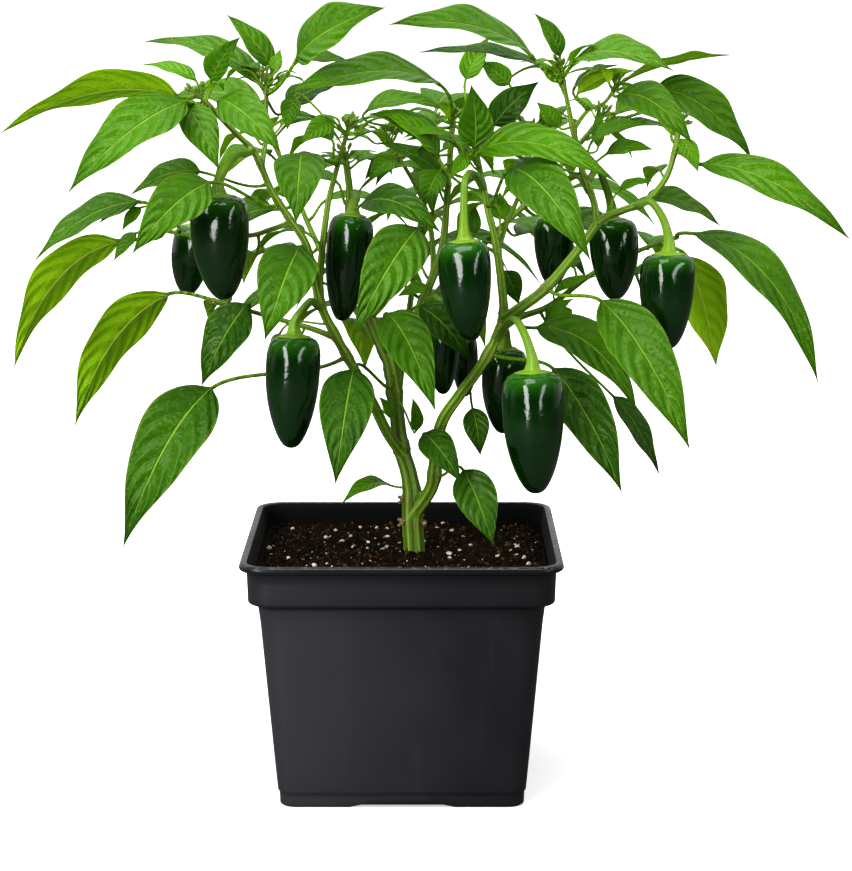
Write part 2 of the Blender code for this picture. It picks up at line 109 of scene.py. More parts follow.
# %% Pods
PEPPERS = (
    ("pepper_1", "left_branch", 0.84, ((-80, -42, 326), (-86, -44, 319)), (-89, -44, 306),
     (-87, -46, 255), 14.6),
    ("pepper_2", "left_middle_twig", 0.64, ((-99, -6, 293), (-102, 4, 293)), (-105, 10, 286),
     (-111, 14, 250), 10.5),
    ("pepper_3", "left_branch", 0.44, ((-45, -35, 253), (-50, -42, 248)), (-53, -43, 237),
     (-55, -46, 181), 13.6),
    ("pepper_4", "left_leader", 0.87, ((-24, 12, 303), (-23, 2, 301)), (-25, -3, 293),
     (-31, -5, 239), 11.5),
    ("pepper_5", "right_leader", 0.91, ((35, -30, 316), (31, -48, 313)), (31, -54, 285),
     (34, -56, 236), 13.0),
    ("pepper_6", "right_leader", 0.54, ((55, -42, 245), (60, -58, 240)), (64, -62, 222),
     (66, -66, 162), 15.0),
    ("pepper_7", "right_upper_branch", 0.23, ((88, -8, 313), (81, 6, 307)), (77, 10, 291),
     (77, 12, 255), 10.5),
    ("pepper_8", "right_upper_branch", 0.3, ((98, -16, 317), (103, -8, 306)), (106, -4, 291),
     (108, -6, 250), 12.5),
    ("pepper_9", "right_branch", 0.68, ((122, -42, 303), (128, -45, 295)), (131, -46, 278),
     (131, -48, 231), 13.4),
    ("pepper_10", "right_leader", 0.48, ((50, 2, 235), (53, 8, 232)), (53, 10, 223),
     (52, 12, 178), 11.5),
    ("pepper_11", "centre_leader", 0.38, ((17, 24, 248), (21, 20, 243)), (21, 20, 231),
     (21, 22, 197), 8.6),
    ("pepper_12", "back_right_branch", 0.14, ((27, 54, 243), (30, 58, 236)), (31, 60, 225),
     (33, 62, 189), 7.6),
)

# %% Main leaves
LEAVES = (
    ("leaf_far_left_top", "left_branch", 0.99, (-109, -38, 354), (-195, -50, 336), 34, 118, 0.12, 12),
    ("leaf_left_top_front", "left_branch", 0.97, (-104, -52, 352), (-156, -96, 311), 34, 52, 0.08, 14),
    ("leaf_top_left_raised", "left_top_twig", 0.89, (-51, -26, 372), (-7, -62, 397), 32, 38, 0.07, 14),
    ("leaf_top_left_long", "centre_leader", 0.98, (18, -8, 359), (-57, -58, 355), 36, 62, 0.10, 14),
    ("leaf_top_centre_long", "right_upper_branch", 0.94, (64, -26, 373), (-6, -72, 389), 34, 60, 0.10, 14),
    ("leaf_top_right_front", "right_upper_branch", 0.97, (85, -28, 371), (130, -72, 367), 28, 62, 0.11, 14),
    ("leaf_top_right_pointed", "right_top_twig", 0.95, (110, -20, 361), (164, -6, 373), 30, 104, 0.05, 12),
    ("leaf_right_top_rear", "right_branch", 0.98, (126, -16, 357), (175, -14, 321), 34, 40, 0.13, 14),
    ("leaf_far_right_top", "right_branch", 0.92, (147, -40, 321), (217, -66, 286), 32, 50, 0.11, 14),
    ("leaf_far_right_arching", "rear_right_branch", 0.99, (150, 10, 282),
     (210, -22, 208), 34, 50, 0.18, 14),
    ("leaf_right_hanging", "rear_right_branch", 0.92, (145, 4, 271), (161, 2, 214), 34, 140, 0.04, 8),
    ("leaf_right_front_large", "right_branch", 0.22, (98, -50, 255), (139, -88, 187), 32, 22, 0.10, 12),
    ("leaf_right_low", "right_leader", 0.49, (76, -28, 218), (109, -58, 160), 32, 28, 0.08, 12),
    ("leaf_left_low_pointed", "left_low_twig", 0.99, (-118, -14, 254), (-166, -18, 186), 34, 138, 0.12, 10),
    ("leaf_far_left_middle", "left_middle_twig", 0.97, (-141, -24, 282),
     (-195, -24, 217), 34, 130, 0.15, 12),
    ("leaf_left_lowest", "left_branch", 0.30, (-94, -46, 211), (-134, -92, 140), 38, 30, 0.12, 12),
    ("leaf_far_left_upper", "left_middle_twig", 0.86, (-130, -32, 302), (-181, -40, 273), 28, 60, 0.11, 14),
    ("leaf_left_front_round", "left_branch", 0.70, (-92, -64, 314), (-126, -98, 283), 30, 22, 0.10, 12),
    ("leaf_centre_front_large", "left_leader", 0.53, (8, -34, 289), (-23, -88, 243), 33, 14, 0.08, 12),
    ("leaf_left_centre_front", "left_branch", 0.52, (-50, -44, 281), (-65, -84, 240), 32, 12, 0.08, 12),
    ("leaf_left_centre_low", "left_leader", 0.31, (-24, -36, 219), (-32, -76, 168), 30, 14, 0.08, 12),
    ("leaf_centre_middle", "left_leader", 0.42, (-7, -22, 245), (17, -64, 202), 27, 24, 0.12, 12),
    ("leaf_centre_lowest", "right_leader", 0.13, (31, -26, 166), (46, -42, 130), 24, 16, 0.06, 10),
    ("leaf_back_left_high", "back_left_branch", 0.95, (-78, 108, 338), (-138, 128, 336), 34, 70, 0.20, 12),
    ("leaf_back_left_low", "back_left_branch", 0.76, (-72, 104, 286), (-118, 130, 236), 34, 60, 0.18, 12),
    ("leaf_back_high", "back_centre_branch", 0.92, (18, 124, 340), (34, 176, 326), 34, 85, 0.22, 12),
    ("leaf_back_right_high", "back_right_branch", 0.92, (116, 112, 338), (174, 132, 330), 34, 70, 0.20, 12),
    ("leaf_back_right_low", "back_right_branch", 0.63, (86, 106, 280), (134, 134, 232), 34, 60, 0.18, 12),
)

# %% [markdown]
# Smaller leaves are too many for the solids, so they are only here. They fill the shoots between the
# main leaves: tufts at the tips, short blades at the forks and hanging ones in the middle.

# %% Smaller leaves
SMALL_LEAVES = (
    ("small_leaf_left_tip", "left_branch", 1.0, (-100, -40, 362), (-127, -34, 369), 12, 60, 0.10, 14),
    ("leaf_top_left_rear", "left_top_twig", 0.9, (-71, -10, 359), (-130, 4, 379), 24, 66, 0.14, 12),
    ("leaf_top_left_folded", "left_branch", 1.0, (-92, -42, 362), (-77, -50, 383), 16, 20, 0.06, 30),
    ("leaf_top_left_upright", "left_top_twig", 0.97, (-65, -14, 367), (-87, -10, 393), 15, 36, 0.08, 16),
    ("small_leaf_top_left", "left_top_twig", 1.0, (-63, -16, 365), (-60, -12, 376), 8, 30, 0.05, 16),
    ("leaf_top_left_short", "left_top_twig", 0.93, (-49, -16, 371), (-24, -20, 369), 12, 60, 0.08, 14),
    ("leaf_top_centre_dark", "right_upper_branch", 0.96, (69, -14, 368), (8, -34, 375), 24, 74, 0.06, 12),
    ("leaf_top_centre_small", "right_leader", 0.99, (32, -2, 361), (44, 2, 382), 14, 22, 0.05, 16),
    ("leaf_top_centre_stub", "right_fork", 0.97, (54, 4, 358), (38, 6, 370), 13, 22, 0.05, 14),
    ("leaf_top_right_upright", "right_upper_branch", 0.98, (78, -20, 373),
     (65, -24, 394), 12, 30, 0.08, 16),
    ("leaf_top_right_under", "right_top_twig", 0.44, (87, -24, 355), (116, -30, 366), 15, 128, 0.10, 12),
    ("leaf_right_top_front", "right_top_twig", 0.94, (106, -36, 354), (140, -66, 332), 22, 36, 0.18, 14),
    ("small_leaf_right_tip", "right_branch", 0.92, (137, -36, 333), (145, -44, 317), 11, 40, 0.08, 14),
    ("small_leaf_right_upper_1", "right_upper_branch", 0.41, (94, -24, 331),
     (122, -30, 340), 13, 62, 0.12, 14),
    ("small_leaf_right_upper_2", "right_upper_branch", 0.37, (102, -20, 325),
     (125, -24, 327), 12, 50, 0.12, 14),
    ("small_leaf_right_upper_3", "right_branch", 0.58, (108, -30, 308), (125, -30, 312), 9, 60, 0.10, 14),
    ("leaf_right_rear_pointed", "right_branch", 0.69, (122, -18, 303), (161, -8, 287), 19, 58, 0.12, 12),
    ("leaf_right_middle_rear", "rear_right_branch", 0.13, (69, 0, 235), (119, -22, 194), 30, 50, 0.20, 14),
    ("leaf_right_low_rear", "rear_right_branch", 0.29, (109, 8, 198), (133, 4, 157), 17, 50, 0.06, 12),
    ("leaf_left_low_inner", "left_low_twig", 0.73, (-78, -16, 249), (-101, -24, 208), 27, 30, 0.06, 12),
    ("small_leaf_far_left_1", "left_middle_twig", 0.97, (-130, -28, 302),
     (-150, -32, 291), 9, 46, 0.08, 12),
    ("small_leaf_far_left_2", "left_middle_twig", 0.99, (-132, -26, 286),
     (-143, -30, 272), 9, 40, 0.06, 12),
    ("small_leaf_far_left_3", "left_middle_twig", 0.96, (-129, -30, 299),
     (-138, -34, 288), 8, 40, 0.06, 12),
    ("leaf_left_upper_inner", "left_branch", 0.75, (-99, -34, 317), (-134, -30, 305), 18, 44, 0.12, 12),
    ("leaf_left_top_hanging", "left_branch", 0.98, (-103, -48, 350), (-87, -66, 320), 20, 20, 0.06, 14),
    ("leaf_left_top_forward", "left_branch", 0.95, (-87, -52, 353), (-56, -80, 329), 23, 24, 0.10, 14),
    ("leaf_left_centre_upper", "left_upper_branch", 0.8, (-49, -34, 326),
     (-50, -74, 295), 28, 14, 0.10, 12),
    ("leaf_centre_left_dark", "left_top_twig", 0.81, (-58, 14, 346), (-31, 26, 357), 20, 60, 0.12, 12),
    ("small_leaf_left_centre_1", "left_upper_branch", 0.98, (-54, -8, 352),
     (-57, -14, 336), 12, 36, 0.06, 12),
    ("small_leaf_left_centre_2", "left_upper_branch", 0.97, (-34, -16, 340),
     (-50, -28, 330), 13, 24, 0.10, 14),
    ("leaf_centre_top_rear", "centre_leader", 0.97, (-18, 22, 344), (24, 26, 343), 18, 62, 0.16, 12),
    ("leaf_centre_left_front", "right_leader", 0.93, (18, -24, 323), (-17, -46, 346), 20, 40, 0.16, 14),
    ("small_leaf_centre_1", "right_leader", 0.97, (26, -22, 331), (1, -36, 332), 9, 60, 0.10, 14),
    ("small_leaf_centre_2", "right_leader", 0.96, (33, -26, 324), (24, -36, 314), 9, 24, 0.06, 14),
    ("leaf_centre_upright", "right_leader", 0.99, (36, -24, 328), (34, -34, 360), 20, 10, 0.04, 8),
    ("leaf_centre_right_dark", "right_fork", 0.8, (46, -6, 338), (69, -6, 360), 20, 30, 0.06, 12),
    ("leaf_centre_right_bright", "right_leader", 0.96, (38, -28, 326), (105, -66, 313), 27, 46, 0.16, 14),
    ("leaf_right_centre_front", "right_leader", 0.86, (54, -42, 319), (90, -94, 279), 30, 24, 0.14, 12),
    ("leaf_centre_left_shaded", "left_leader", 0.88, (-20, -14, 299), (20, -42, 287), 22, 44, 0.18, 12),
    ("small_leaf_left_low_tip", "left_branch", 0.39, (-63, 6, 231), (-67, 8, 212), 10, 40, 0.05, 10),
    ("leaf_centre_low_front", "right_leader", 0.21, (11, -16, 183), (30, -42, 162), 19, 24, 0.10, 12),
    ("small_leaf_trunk_left", "left_leader", 0.02, (-8, -6, 155), (-31, -30, 149), 13, 68, 0.14, 14),
    ("small_leaf_stem_1", "left_leader", 0.27, (7, -8, 183), (5, -10, 201), 9, 30, 0.05, 12),
    ("small_leaf_stem_2", "left_branch", 0.15, (-5, -14, 191), (-12, -20, 203), 7, 30, 0.05, 12),
    ("leaf_centre_low_right", "right_leader", 0.38, (36, 2, 193), (40, -4, 169), 15, 14, 0.06, 10),
    ("leaf_centre_middle_dark", "centre_leader", 0.24, (9, 6, 245), (35, -4, 217), 20, 24, 0.12, 12),
    ("small_leaf_centre_3", "centre_leader", 0.42, (13, 24, 253), (-3, 14, 249), 9, 44, 0.08, 12),
    ("leaf_centre_right_inner", "right_leader", 0.64, (52, -8, 265), (59, -12, 248), 13, 16, 0.06, 12),
    ("small_leaf_heart", "right_leader", 0.77, (50, 14, 289), (50, 18, 303), 12, 14, 0.04, 10),
    ("small_leaf_centre_4", "centre_leader", 0.57, (37, 24, 281), (37, 24, 297), 8, 20, 0.04, 12),
    ("small_leaf_centre_5", "centre_twig", 0.91, (-5, 44, 320), (-20, 40, 307), 11, 30, 0.08, 12),
    ("small_leaf_centre_6", "centre_leader", 0.72, (14, 20, 314), (10, 16, 299), 11, 20, 0.06, 12),
    ("leaf_centre_shaded", "centre_leader", 0.82, (22, 10, 309), (-13, 4, 329), 17, 50, 0.10, 12),
    ("small_leaf_right_inner_1", "rear_right_branch", 0.38, (78, 8, 252), (100, 4, 261), 8, 50, 0.10, 12),
    ("small_leaf_right_inner_2", "rear_right_branch", 0.32, (74, 6, 238), (88, 2, 250), 9, 40, 0.08, 12),
    ("small_leaf_top_right_1", "right_upper_branch", 0.86, (78, -16, 360), (68, -14, 369), 9, 30, 0.06, 12),
    ("small_leaf_top_right_2", "right_upper_branch", 0.65, (78, -14, 338),
     (67, -10, 350), 11, 30, 0.06, 12),
    ("small_leaf_top_right_3", "right_upper_branch", 0.48, (98, -14, 328), (98, -12, 349), 7, 20, 0.05, 12),
    ("small_leaf_centre_7", "right_leader", 0.9, (18, -34, 325), (-10, -44, 346), 20, 50, 0.12, 12),
    ("small_leaf_centre_8", "right_leader", 0.95, (24, -30, 334), (0, -46, 334), 9, 60, 0.10, 20),
    ("small_leaf_centre_9", "centre_leader", 0.88, (-3, 8, 321), (-17, -2, 310), 14, 44, 0.10, 12),
    ("leaf_centre_hanging", "centre_leader", 0.85, (19, -2, 315), (11, -10, 297), 16, 24, 0.10, 12),
    ("leaf_top_right_lower", "right_top_twig", 0.4, (85, -22, 357), (107, -30, 369), 17, 70, 0.10, 12),
)


# %% [markdown]
# ## Curves that carry everything
# Stems, stalks and midribs are all smooth paths. One small set of helpers makes them: a Catmull-Rom
# curve through the routes' points, cut to even steps, and a side vector carried along without twist.

# %% Path helpers
def smooth_path(points, step):
    """Catmull-Rom curve through the points in even steps."""
    knots = [Vector(point) for point in points]
    knots = [2 * knots[0] - knots[1], *knots, 2 * knots[-1] - knots[-2]]
    dense = []
    for a, b, c, d in zip(knots, knots[1:], knots[2:], knots[3:]):
        for k in range(12):
            t = k / 12
            dense.append(0.5 * (2 * b + (c - a) * t + (2 * a - 5 * b + 4 * c - d) * t ** 2
                                + (3 * b - a - 3 * c + d) * t ** 3))
    dense.append(knots[-2])
    lengths = [0.0]
    for a, b in zip(dense, dense[1:]):
        lengths.append(lengths[-1] + (b - a).length)
    count = max(2, round(lengths[-1] / step))
    path = []
    at = 0
    for k in range(count + 1):
        want = lengths[-1] * k / count
        while at < len(dense) - 2 and lengths[at + 1] < want:
            at += 1
        span = max(lengths[at + 1] - lengths[at], 1e-9)
        path.append(dense[at].lerp(dense[at + 1], (want - lengths[at]) / span))
    return path


def path_frames(path, side):
    """Point, tangent and carried side at each point."""
    frames = []
    for k, point in enumerate(path):
        tangent = (path[min(k + 1, len(path) - 1)] - path[max(k - 1, 0)]).normalized()
        side = (side - side.dot(tangent) * tangent).normalized()
        frames.append((point, tangent, side))
    return frames


def any_side(direction):
    spare = Vector((0, 0, 1)) if abs(direction.z) < 0.8 else Vector((1, 0, 0))
    return direction.cross(spare).normalized()


def bezier(a, b, c, d, t):
    s = 1 - t
    return a * s ** 3 + b * 3 * s * s * t + c * 3 * s * t * t + d * t ** 3


def wobble(seed, k=0):
    """A repeatable number between -1 and 1 for a named piece."""
    total = sum(ord(letter) * (i + 3) for i, letter in enumerate(seed)) + 37 * k
    return math.sin(total * 12.9898) * 43758.5453 % 2 - 1


# %% Lay out the stems
STEM_STEP = 1.5
AT_TIP = 0.995


class Stem:
    """A stem's path in millimetres with its radius along it."""

    def __init__(self, name, path, start_radius, end_radius):
        self.name = name
        self.path = path
        self.start_radius = start_radius
        self.end_radius = end_radius
        self.nodes = []

    def at(self, share):
        spot = min(max(share, 0), 1) * (len(self.path) - 1)
        k = min(int(spot), len(self.path) - 2)
        point = self.path[k].lerp(self.path[k + 1], spot - k)
        radius = self.start_radius + (self.end_radius - self.start_radius) * share
        return point, (self.path[k + 1] - self.path[k]).normalized(), radius

    def nearest(self, point):
        shares = [k / 200 for k in range(201)]
        return min(shares, key=lambda share: (self.at(share)[0] - point).length)

    def leave(self, share, towards):
        """Axis point, outward direction and radius where a side shoot leaves."""
        point, direction, radius = self.at(share)
        self.nodes.append(share)
        if share >= AT_TIP:
            return point, direction, radius
        out = towards - point
        return point, (out - out.dot(direction) * direction).normalized(), radius


stems = {}
for name, parent, start_radius, end_radius, route in STEMS:
    points = [Vector(point) for point in route]
    if parent:
        share = stems[parent].nearest(points[0])
        start, out, radius = stems[parent].leave(share, points[1])
        if share < AT_TIP:
            along = stems[parent].at(share)[1]
            points[0] = start - along * radius * 1.1
    stems[name] = Stem(name, smooth_path(points, STEM_STEP), start_radius, end_radius)
print("stems:", len(stems))


# %% [markdown]
# ## Putting pieces into the scene
# Every piece keeps its place in its mesh, with its object at the origin. A closed shape is lofted
# from rings, and bmesh turns its faces outward.

# %% Mesh helpers
def srgb(red, green, blue):
    """Screen colour from 0 to 255 as linear light."""
    def linear(c):
        c = c / 255
        return c / 12.92 if c <= 0.04045 else ((c + 0.055) / 1.055) ** 2.4
    return (linear(red), linear(green), linear(blue), 1.0)


def store(mesh, label, domain, values):
    mesh.attributes.new(label, "FLOAT", domain).data.foreach_set("value", values)


def store_uv(mesh, values):
    """UV map from one value for each point of the mesh."""
    corners = np.empty(len(mesh.loops), dtype=np.int32)
    mesh.loops.foreach_get("vertex_index", corners)
    layer = mesh.uv_layers.new(name="UVMap")
    layer.data.foreach_set("uv", np.array(values, dtype=np.float32)[corners].ravel())


def lookup(points):
    """A tree that finds the nearest of some points."""
    tree = KDTree(len(points))
    for k, point in enumerate(points):
        tree.insert(point, k)
    tree.balance()
    return tree


class Shell:
    """Collects lofted bodies: corners, faces, a UV for each corner and values for each face."""

    def __init__(self):
        self.points = []
        self.faces = []
        self.uvs = []
        self.values = {"underside": [], "tone": [], "relief": []}

    def loft(self, rings, ring_uvs=None, underside=None, tone=0.0, relief=1.0):
        starts = []
        for k, ring in enumerate(rings):
            starts.append(len(self.points))
            self.points.extend(ring)
            self.uvs.extend(ring_uvs[k] if ring_uvs else [(0.0, 0.0)] * len(ring))
        before = len(self.faces)
        for k in range(len(rings) - 1):
            low, high = len(rings[k]), len(rings[k + 1])
            for i in range(max(low, high)):
                j = (i + 1) % max(low, high)
                corners = [starts[k] + i, starts[k] + j] if low > 1 else [starts[k]]
                corners += [starts[k + 1] + j, starts[k + 1] + i] if high > 1 else [starts[k + 1]]
                self.faces.append(corners)
                self.values["underside"].append(underside(k, i) if underside else 0.0)
        for k in (0, len(rings) - 1):
            if len(rings[k]) > 2:
                self.faces.append([starts[k] + i for i in range(len(rings[k]))])
                self.values["underside"].append(0.0)
        self.values["tone"].extend([tone] * (len(self.faces) - before))
        self.values["relief"].extend([relief] * (len(self.faces) - before))

    def mesh(self, name):
        mesh = bpy.data.meshes.new(name)
        mesh.from_pydata([Vector(point) * MM for point in self.points], [], self.faces)
        store_uv(mesh, self.uvs)
        for label, numbers in self.values.items():
            store(mesh, label, "FACE", numbers)
        work = bmesh.new()
        work.from_mesh(mesh)
        bmesh.ops.recalc_face_normals(work, faces=work.faces)
        work.to_mesh(mesh)
        work.free()
        mesh.shade_smooth()
        return mesh


def add_piece(name, mesh, material, slot, *nodes):
    """Links a finished mesh with its material, puts it under the root body and hides the solids that it
    stands for.
    """
    mesh.materials.clear()
    mesh.materials.append(material)
    piece = bpy.data.objects.new(name, mesh)
    bpy.context.scene.collection.objects.link(piece)
    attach(piece, "root")
    if nodes:
        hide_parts(*nodes)
    return piece


# %% [markdown]
# ## Shader tools
# A few helpers keep the node code short: `overlay` lays shades over a colour, `weighed` adds values
# up, and `dress` fills the shader's sockets. Effects that several finishes share are node groups:
# `blotches` varies a tone slowly, `grain` gives a fine height, `quilting` raises small cells, and
# `leaf_veins` draws a leaf's veins from its UV map, U across the blade and V from base to tip.

# %% Node helpers
def wire(tree, value, socket):
    """Links a socket, or sets a plain number, colour or name."""
    if isinstance(value, bpy.types.NodeSocket):
        tree.links.new(value, socket)
    else:
        socket.default_value = value


def add_node(tree, kind, inputs=(), **settings):
    """Adds a node with its settings, then fills its inputs by name or place."""
    node = tree.nodes.new(kind)
    for key, value in settings.items():
        setattr(node, key, value)
    for label, value in dict(inputs).items():
        wire(tree, value, node.inputs[label])
    return node


def node_out(tree, kind, inputs=(), **settings):
    """Adds a node and returns its first output."""
    return add_node(tree, kind, inputs, **settings).outputs[0]


def maths(tree, operation, *values, clamp=False):
    given = dict(enumerate(values))
    return node_out(tree, "ShaderNodeMath", given, operation=operation, use_clamp=clamp)


def times(tree, first, second):
    return maths(tree, "MULTIPLY", first, second)


def plus(tree, first, second):
    return maths(tree, "ADD", first, second)


def minus(tree, first, second):
    return maths(tree, "SUBTRACT", first, second)


def weighed(tree, *pairs):
    """Sum of values, each times its weight."""
    total = 0.0
    for value, weight in pairs:
        total = plus(tree, total, times(tree, value, weight))
    return total


def ramp(tree, value, low, high, out_low=0.0, out_high=1.0):
    """Smooth step between two limits."""
    given = dict(enumerate((value, low, high, out_low, out_high)))
    return node_out(tree, "ShaderNodeMapRange", given, interpolation_type="SMOOTHSTEP")


def blend(tree, factor, first, second):
    node = add_node(tree, "ShaderNodeMix", {"Factor": factor, 6: first, 7: second}, data_type="RGBA")
    return node.outputs[2]


def overlay(tree, colour, *layers):
    """Lays shades over a colour, each where its mask is and up to its share."""
    for mask, share, shade in layers:
        colour = blend(tree, times(tree, mask, share), colour, srgb(*shade))
    return colour


def new_group(name, inputs, outputs, kind="ShaderNodeTree"):
    """A node group. An input is given as its default number, or as its socket's kind."""
    numbers = {float: "NodeSocketFloat", int: "NodeSocketInt"}
    tree = bpy.data.node_groups.new(name, kind)
    for label, given in inputs.items():
        socket_kind = numbers.get(type(given), given)
        socket = tree.interface.new_socket(name=label, in_out="INPUT", socket_type=socket_kind)
        if type(given) in numbers:
            socket.default_value = given
    for label in outputs:
        socket_kind = "NodeSocketGeometry" if label == "Geometry" else "NodeSocketFloat"
        tree.interface.new_socket(name=label, in_out="OUTPUT", socket_type=socket_kind)
    return tree, add_node(tree, "NodeGroupInput").outputs, add_node(tree, "NodeGroupOutput").inputs


def use_group(tree, group, **values):
    """Puts a group in a tree and returns its outputs."""
    node = add_node(tree, "ShaderNodeGroup", node_tree=group)
    for label, value in values.items():
        wire(tree, value, node.inputs[label])
    return node.outputs


def parts(tree, kind, output, **settings):
    """The x, y and z of a vector that a node gives out."""
    vector = add_node(tree, kind, **settings).outputs[output]
    return add_node(tree, "ShaderNodeSeparateXYZ", {0: vector}).outputs


def object_noise(tree, scale, detail=3.0, stretch=(1, 1, 1)):
    place = add_node(tree, "ShaderNodeTexCoord").outputs["Object"]
    mapped = node_out(tree, "ShaderNodeMapping", {"Scale": stretch, "Vector": place})
    return add_node(tree, "ShaderNodeTexNoise",
                    {"Vector": mapped, "Scale": scale, "Detail": detail}).outputs["Fac"]


def attribute(tree, label):
    return add_node(tree, "ShaderNodeAttribute", attribute_name=label).outputs["Fac"]


def new_material(name):
    material = bpy.data.materials.new(name)
    material.use_nodes = True
    tree = material.node_tree
    return material, tree, tree.nodes["Principled BSDF"]


def dress(tree, shader, **values):
    """Fills the shader's sockets: colours and numbers are set, sockets are linked."""
    for label, value in values.items():
        wire(tree, value, shader.inputs[label.replace("_", " ")])


def add_bump(tree, shader, height, distance, strength=1.0):
    bump = add_node(tree, "ShaderNodeBump", {"Distance": distance, "Strength": strength, "Height": height})
    wire(tree, bump.outputs["Normal"], shader.inputs["Normal"])


# %% Shared effects
PAIRS = 7.0
SWEEP_BACK = 0.12
SWEEP_CURVE = 0.17
STAGGER = 0.45

blotches, inlet, outlet = new_group("blotches", {"Scale": 40.0, "Contrast": 1.0}, ["Mask"])
cloud = minus(blotches, object_noise(blotches, inlet["Scale"]), 0.5)
cloud = maths(blotches, "ADD", times(blotches, cloud, inlet["Contrast"]), 0.5, clamp=True)
wire(blotches, cloud, outlet["Mask"])

grain, inlet, outlet = new_group("grain", {"Scale": 1500.0}, ["Height"])
wire(grain, object_noise(grain, inlet["Scale"], 2.0), outlet["Height"])

quilting, inlet, outlet = new_group("quilting", {"Scale": 250.0}, ["Height"])
place = add_node(quilting, "ShaderNodeTexCoord").outputs["Object"]
cells = add_node(quilting, "ShaderNodeTexVoronoi",
                 {"Smoothness": 0.5, "Vector": place, "Scale": inlet["Scale"]}, feature="SMOOTH_F1")
wire(quilting, ramp(quilting, cells.outputs["Distance"], 0.0, 0.75, 1.0, 0.0), outlet["Height"])


def veins_group():
    """Side veins sweep back and curve, stand staggered left and right, and drift a little."""
    tree, inlet, outlet = new_group("leaf_veins", {"Pairs": PAIRS, "Width": 0.16},
                                    ["Veins", "Midrib", "Pillow", "Blade", "Margin"])
    u, v, _ = parts(tree, "ShaderNodeUVMap", "UV", uv_map="UVMap")
    across = minus(tree, times(tree, u, 2.0), 1.0)
    side = times(tree, maths(tree, "GREATER_THAN", across, 0.0), STAGGER)
    across = maths(tree, "ABSOLUTE", across)
    curve = times(tree, times(tree, across, across), SWEEP_CURVE)
    along = minus(tree, minus(tree, v, times(tree, across, SWEEP_BACK)), curve)
    drift = times(tree, minus(tree, object_noise(tree, 60.0), 0.5), 0.5)
    phase = plus(tree, plus(tree, times(tree, along, inlet["Pairs"]), side), drift)
    pillow = times(tree, maths(tree, "PINGPONG", phase, 0.5), 2.0)
    lateral = ramp(tree, pillow, 0.0, inlet["Width"], 1.0, 0.0)
    lateral = times(tree, lateral, ramp(tree, across, 0.55, 0.98, 0.75, 0.0))
    midrib = ramp(tree, across, 0.012, 0.058, 1.0, 0.0)
    wire(tree, maths(tree, "MAXIMUM", lateral, midrib), outlet["Veins"])
    wire(tree, midrib, outlet["Midrib"])
    wire(tree, pillow, outlet["Pillow"])
    wire(tree, ramp(tree, v, -0.02, 0.03), outlet["Blade"])
    wire(tree, ramp(tree, across, 0.90, 1.0), outlet["Margin"])
    return tree


leaf_veins = veins_group()
print("node groups:", [group.name for group in (blotches, grain, quilting, leaf_veins)])


# %% [markdown]
# ## Finishes
# Leaf: the upper side is a saturated satin green, pale along the sunken veins with painted shade in the
# grooves beside them; the underside is paler and yellower with raised veins, and lighter still as painted
# light shining through the blade. Each blade has its own `tone`, from deep green to young yellow-green,
# which also paints shade on shaded leaves and light shining through rear ones.
# A little subsurface light stands in for what shines through a thin blade.

# %% Leaf finish
def leaf_material():
    material, tree, shader = new_material("leaf_tissue")
    veins = use_group(tree, leaf_veins, Pairs=PAIRS, Width=0.085)
    broad = use_group(tree, blotches, Scale=28.0, Contrast=1.8)[0]
    mottle = use_group(tree, blotches, Scale=110.0, Contrast=1.8)[0]
    quilt = use_group(tree, quilting, Scale=420.0)[0]
    under = attribute(tree, "underside")
    tone = plus(tree, attribute(tree, "tone"), times(tree, broad, 0.4))
    tone = maths(tree, "SUBTRACT", tone, 0.2, clamp=True)
    # Painted shade in the sunken grooves along the side veins.
    painted_vein_shade = ramp(tree, veins["Pillow"], 0.0, 0.35, 1.0, 0.0)
    upper = overlay(tree, blend(tree, tone, srgb(22, 68, 1), srgb(96, 152, 4)),
                    (mottle, 0.20, (58, 116, 4)), (quilt, 0.10, (120, 176, 28)),
                    (painted_vein_shade, 0.25, (28, 72, 2)), (veins["Veins"], 0.50, (134, 186, 48)),
                    (veins["Midrib"], 0.45, (166, 206, 76)))
    # The underside is paler and yellower, and lighter still as painted light shining through the blade.
    lower = overlay(tree, blend(tree, tone, srgb(126, 176, 8), srgb(180, 222, 28)),
                    (mottle, 0.30, (138, 186, 14)), (quilt, 0.10, (128, 176, 10)),
                    (veins["Veins"], 0.40, (172, 202, 72)), (veins["Midrib"], 0.70, (196, 222, 104)))
    colour = overlay(tree, blend(tree, under, upper, lower), (veins["Margin"], 0.35, (140, 186, 50)))
    stalk = blend(tree, tone, srgb(92, 136, 12), srgb(136, 182, 34))
    colour = blend(tree, veins["Blade"], stalk, colour)
    rough = weighed(tree, (ramp(tree, mottle, 0.2, 0.8, 0.30, 0.44), 1.0), (under, 0.15))
    relief = weighed(tree, (ramp(tree, veins["Pillow"], 0.0, 1.0), 1.0), (veins["Veins"], -0.5),
                     (veins["Midrib"], -0.5), (quilt, 0.34), (mottle, 0.25))
    relief = times(tree, relief, attribute(tree, "relief"))
    facing = minus(tree, 1.0, times(tree, under, 1.6))
    add_bump(tree, shader, times(tree, relief, facing), 0.0010, 0.9)
    dress(tree, shader, Base_Color=colour, Roughness=rough, Subsurface_Weight=0.25,
          Subsurface_Radius=(0.6, 1.0, 0.1), Subsurface_Scale=0.0012, Specular_IOR_Level=0.34,
          Specular_Tint=(0.85, 1.0, 0.60, 1.0))
    return material


leaf_tissue = leaf_material()
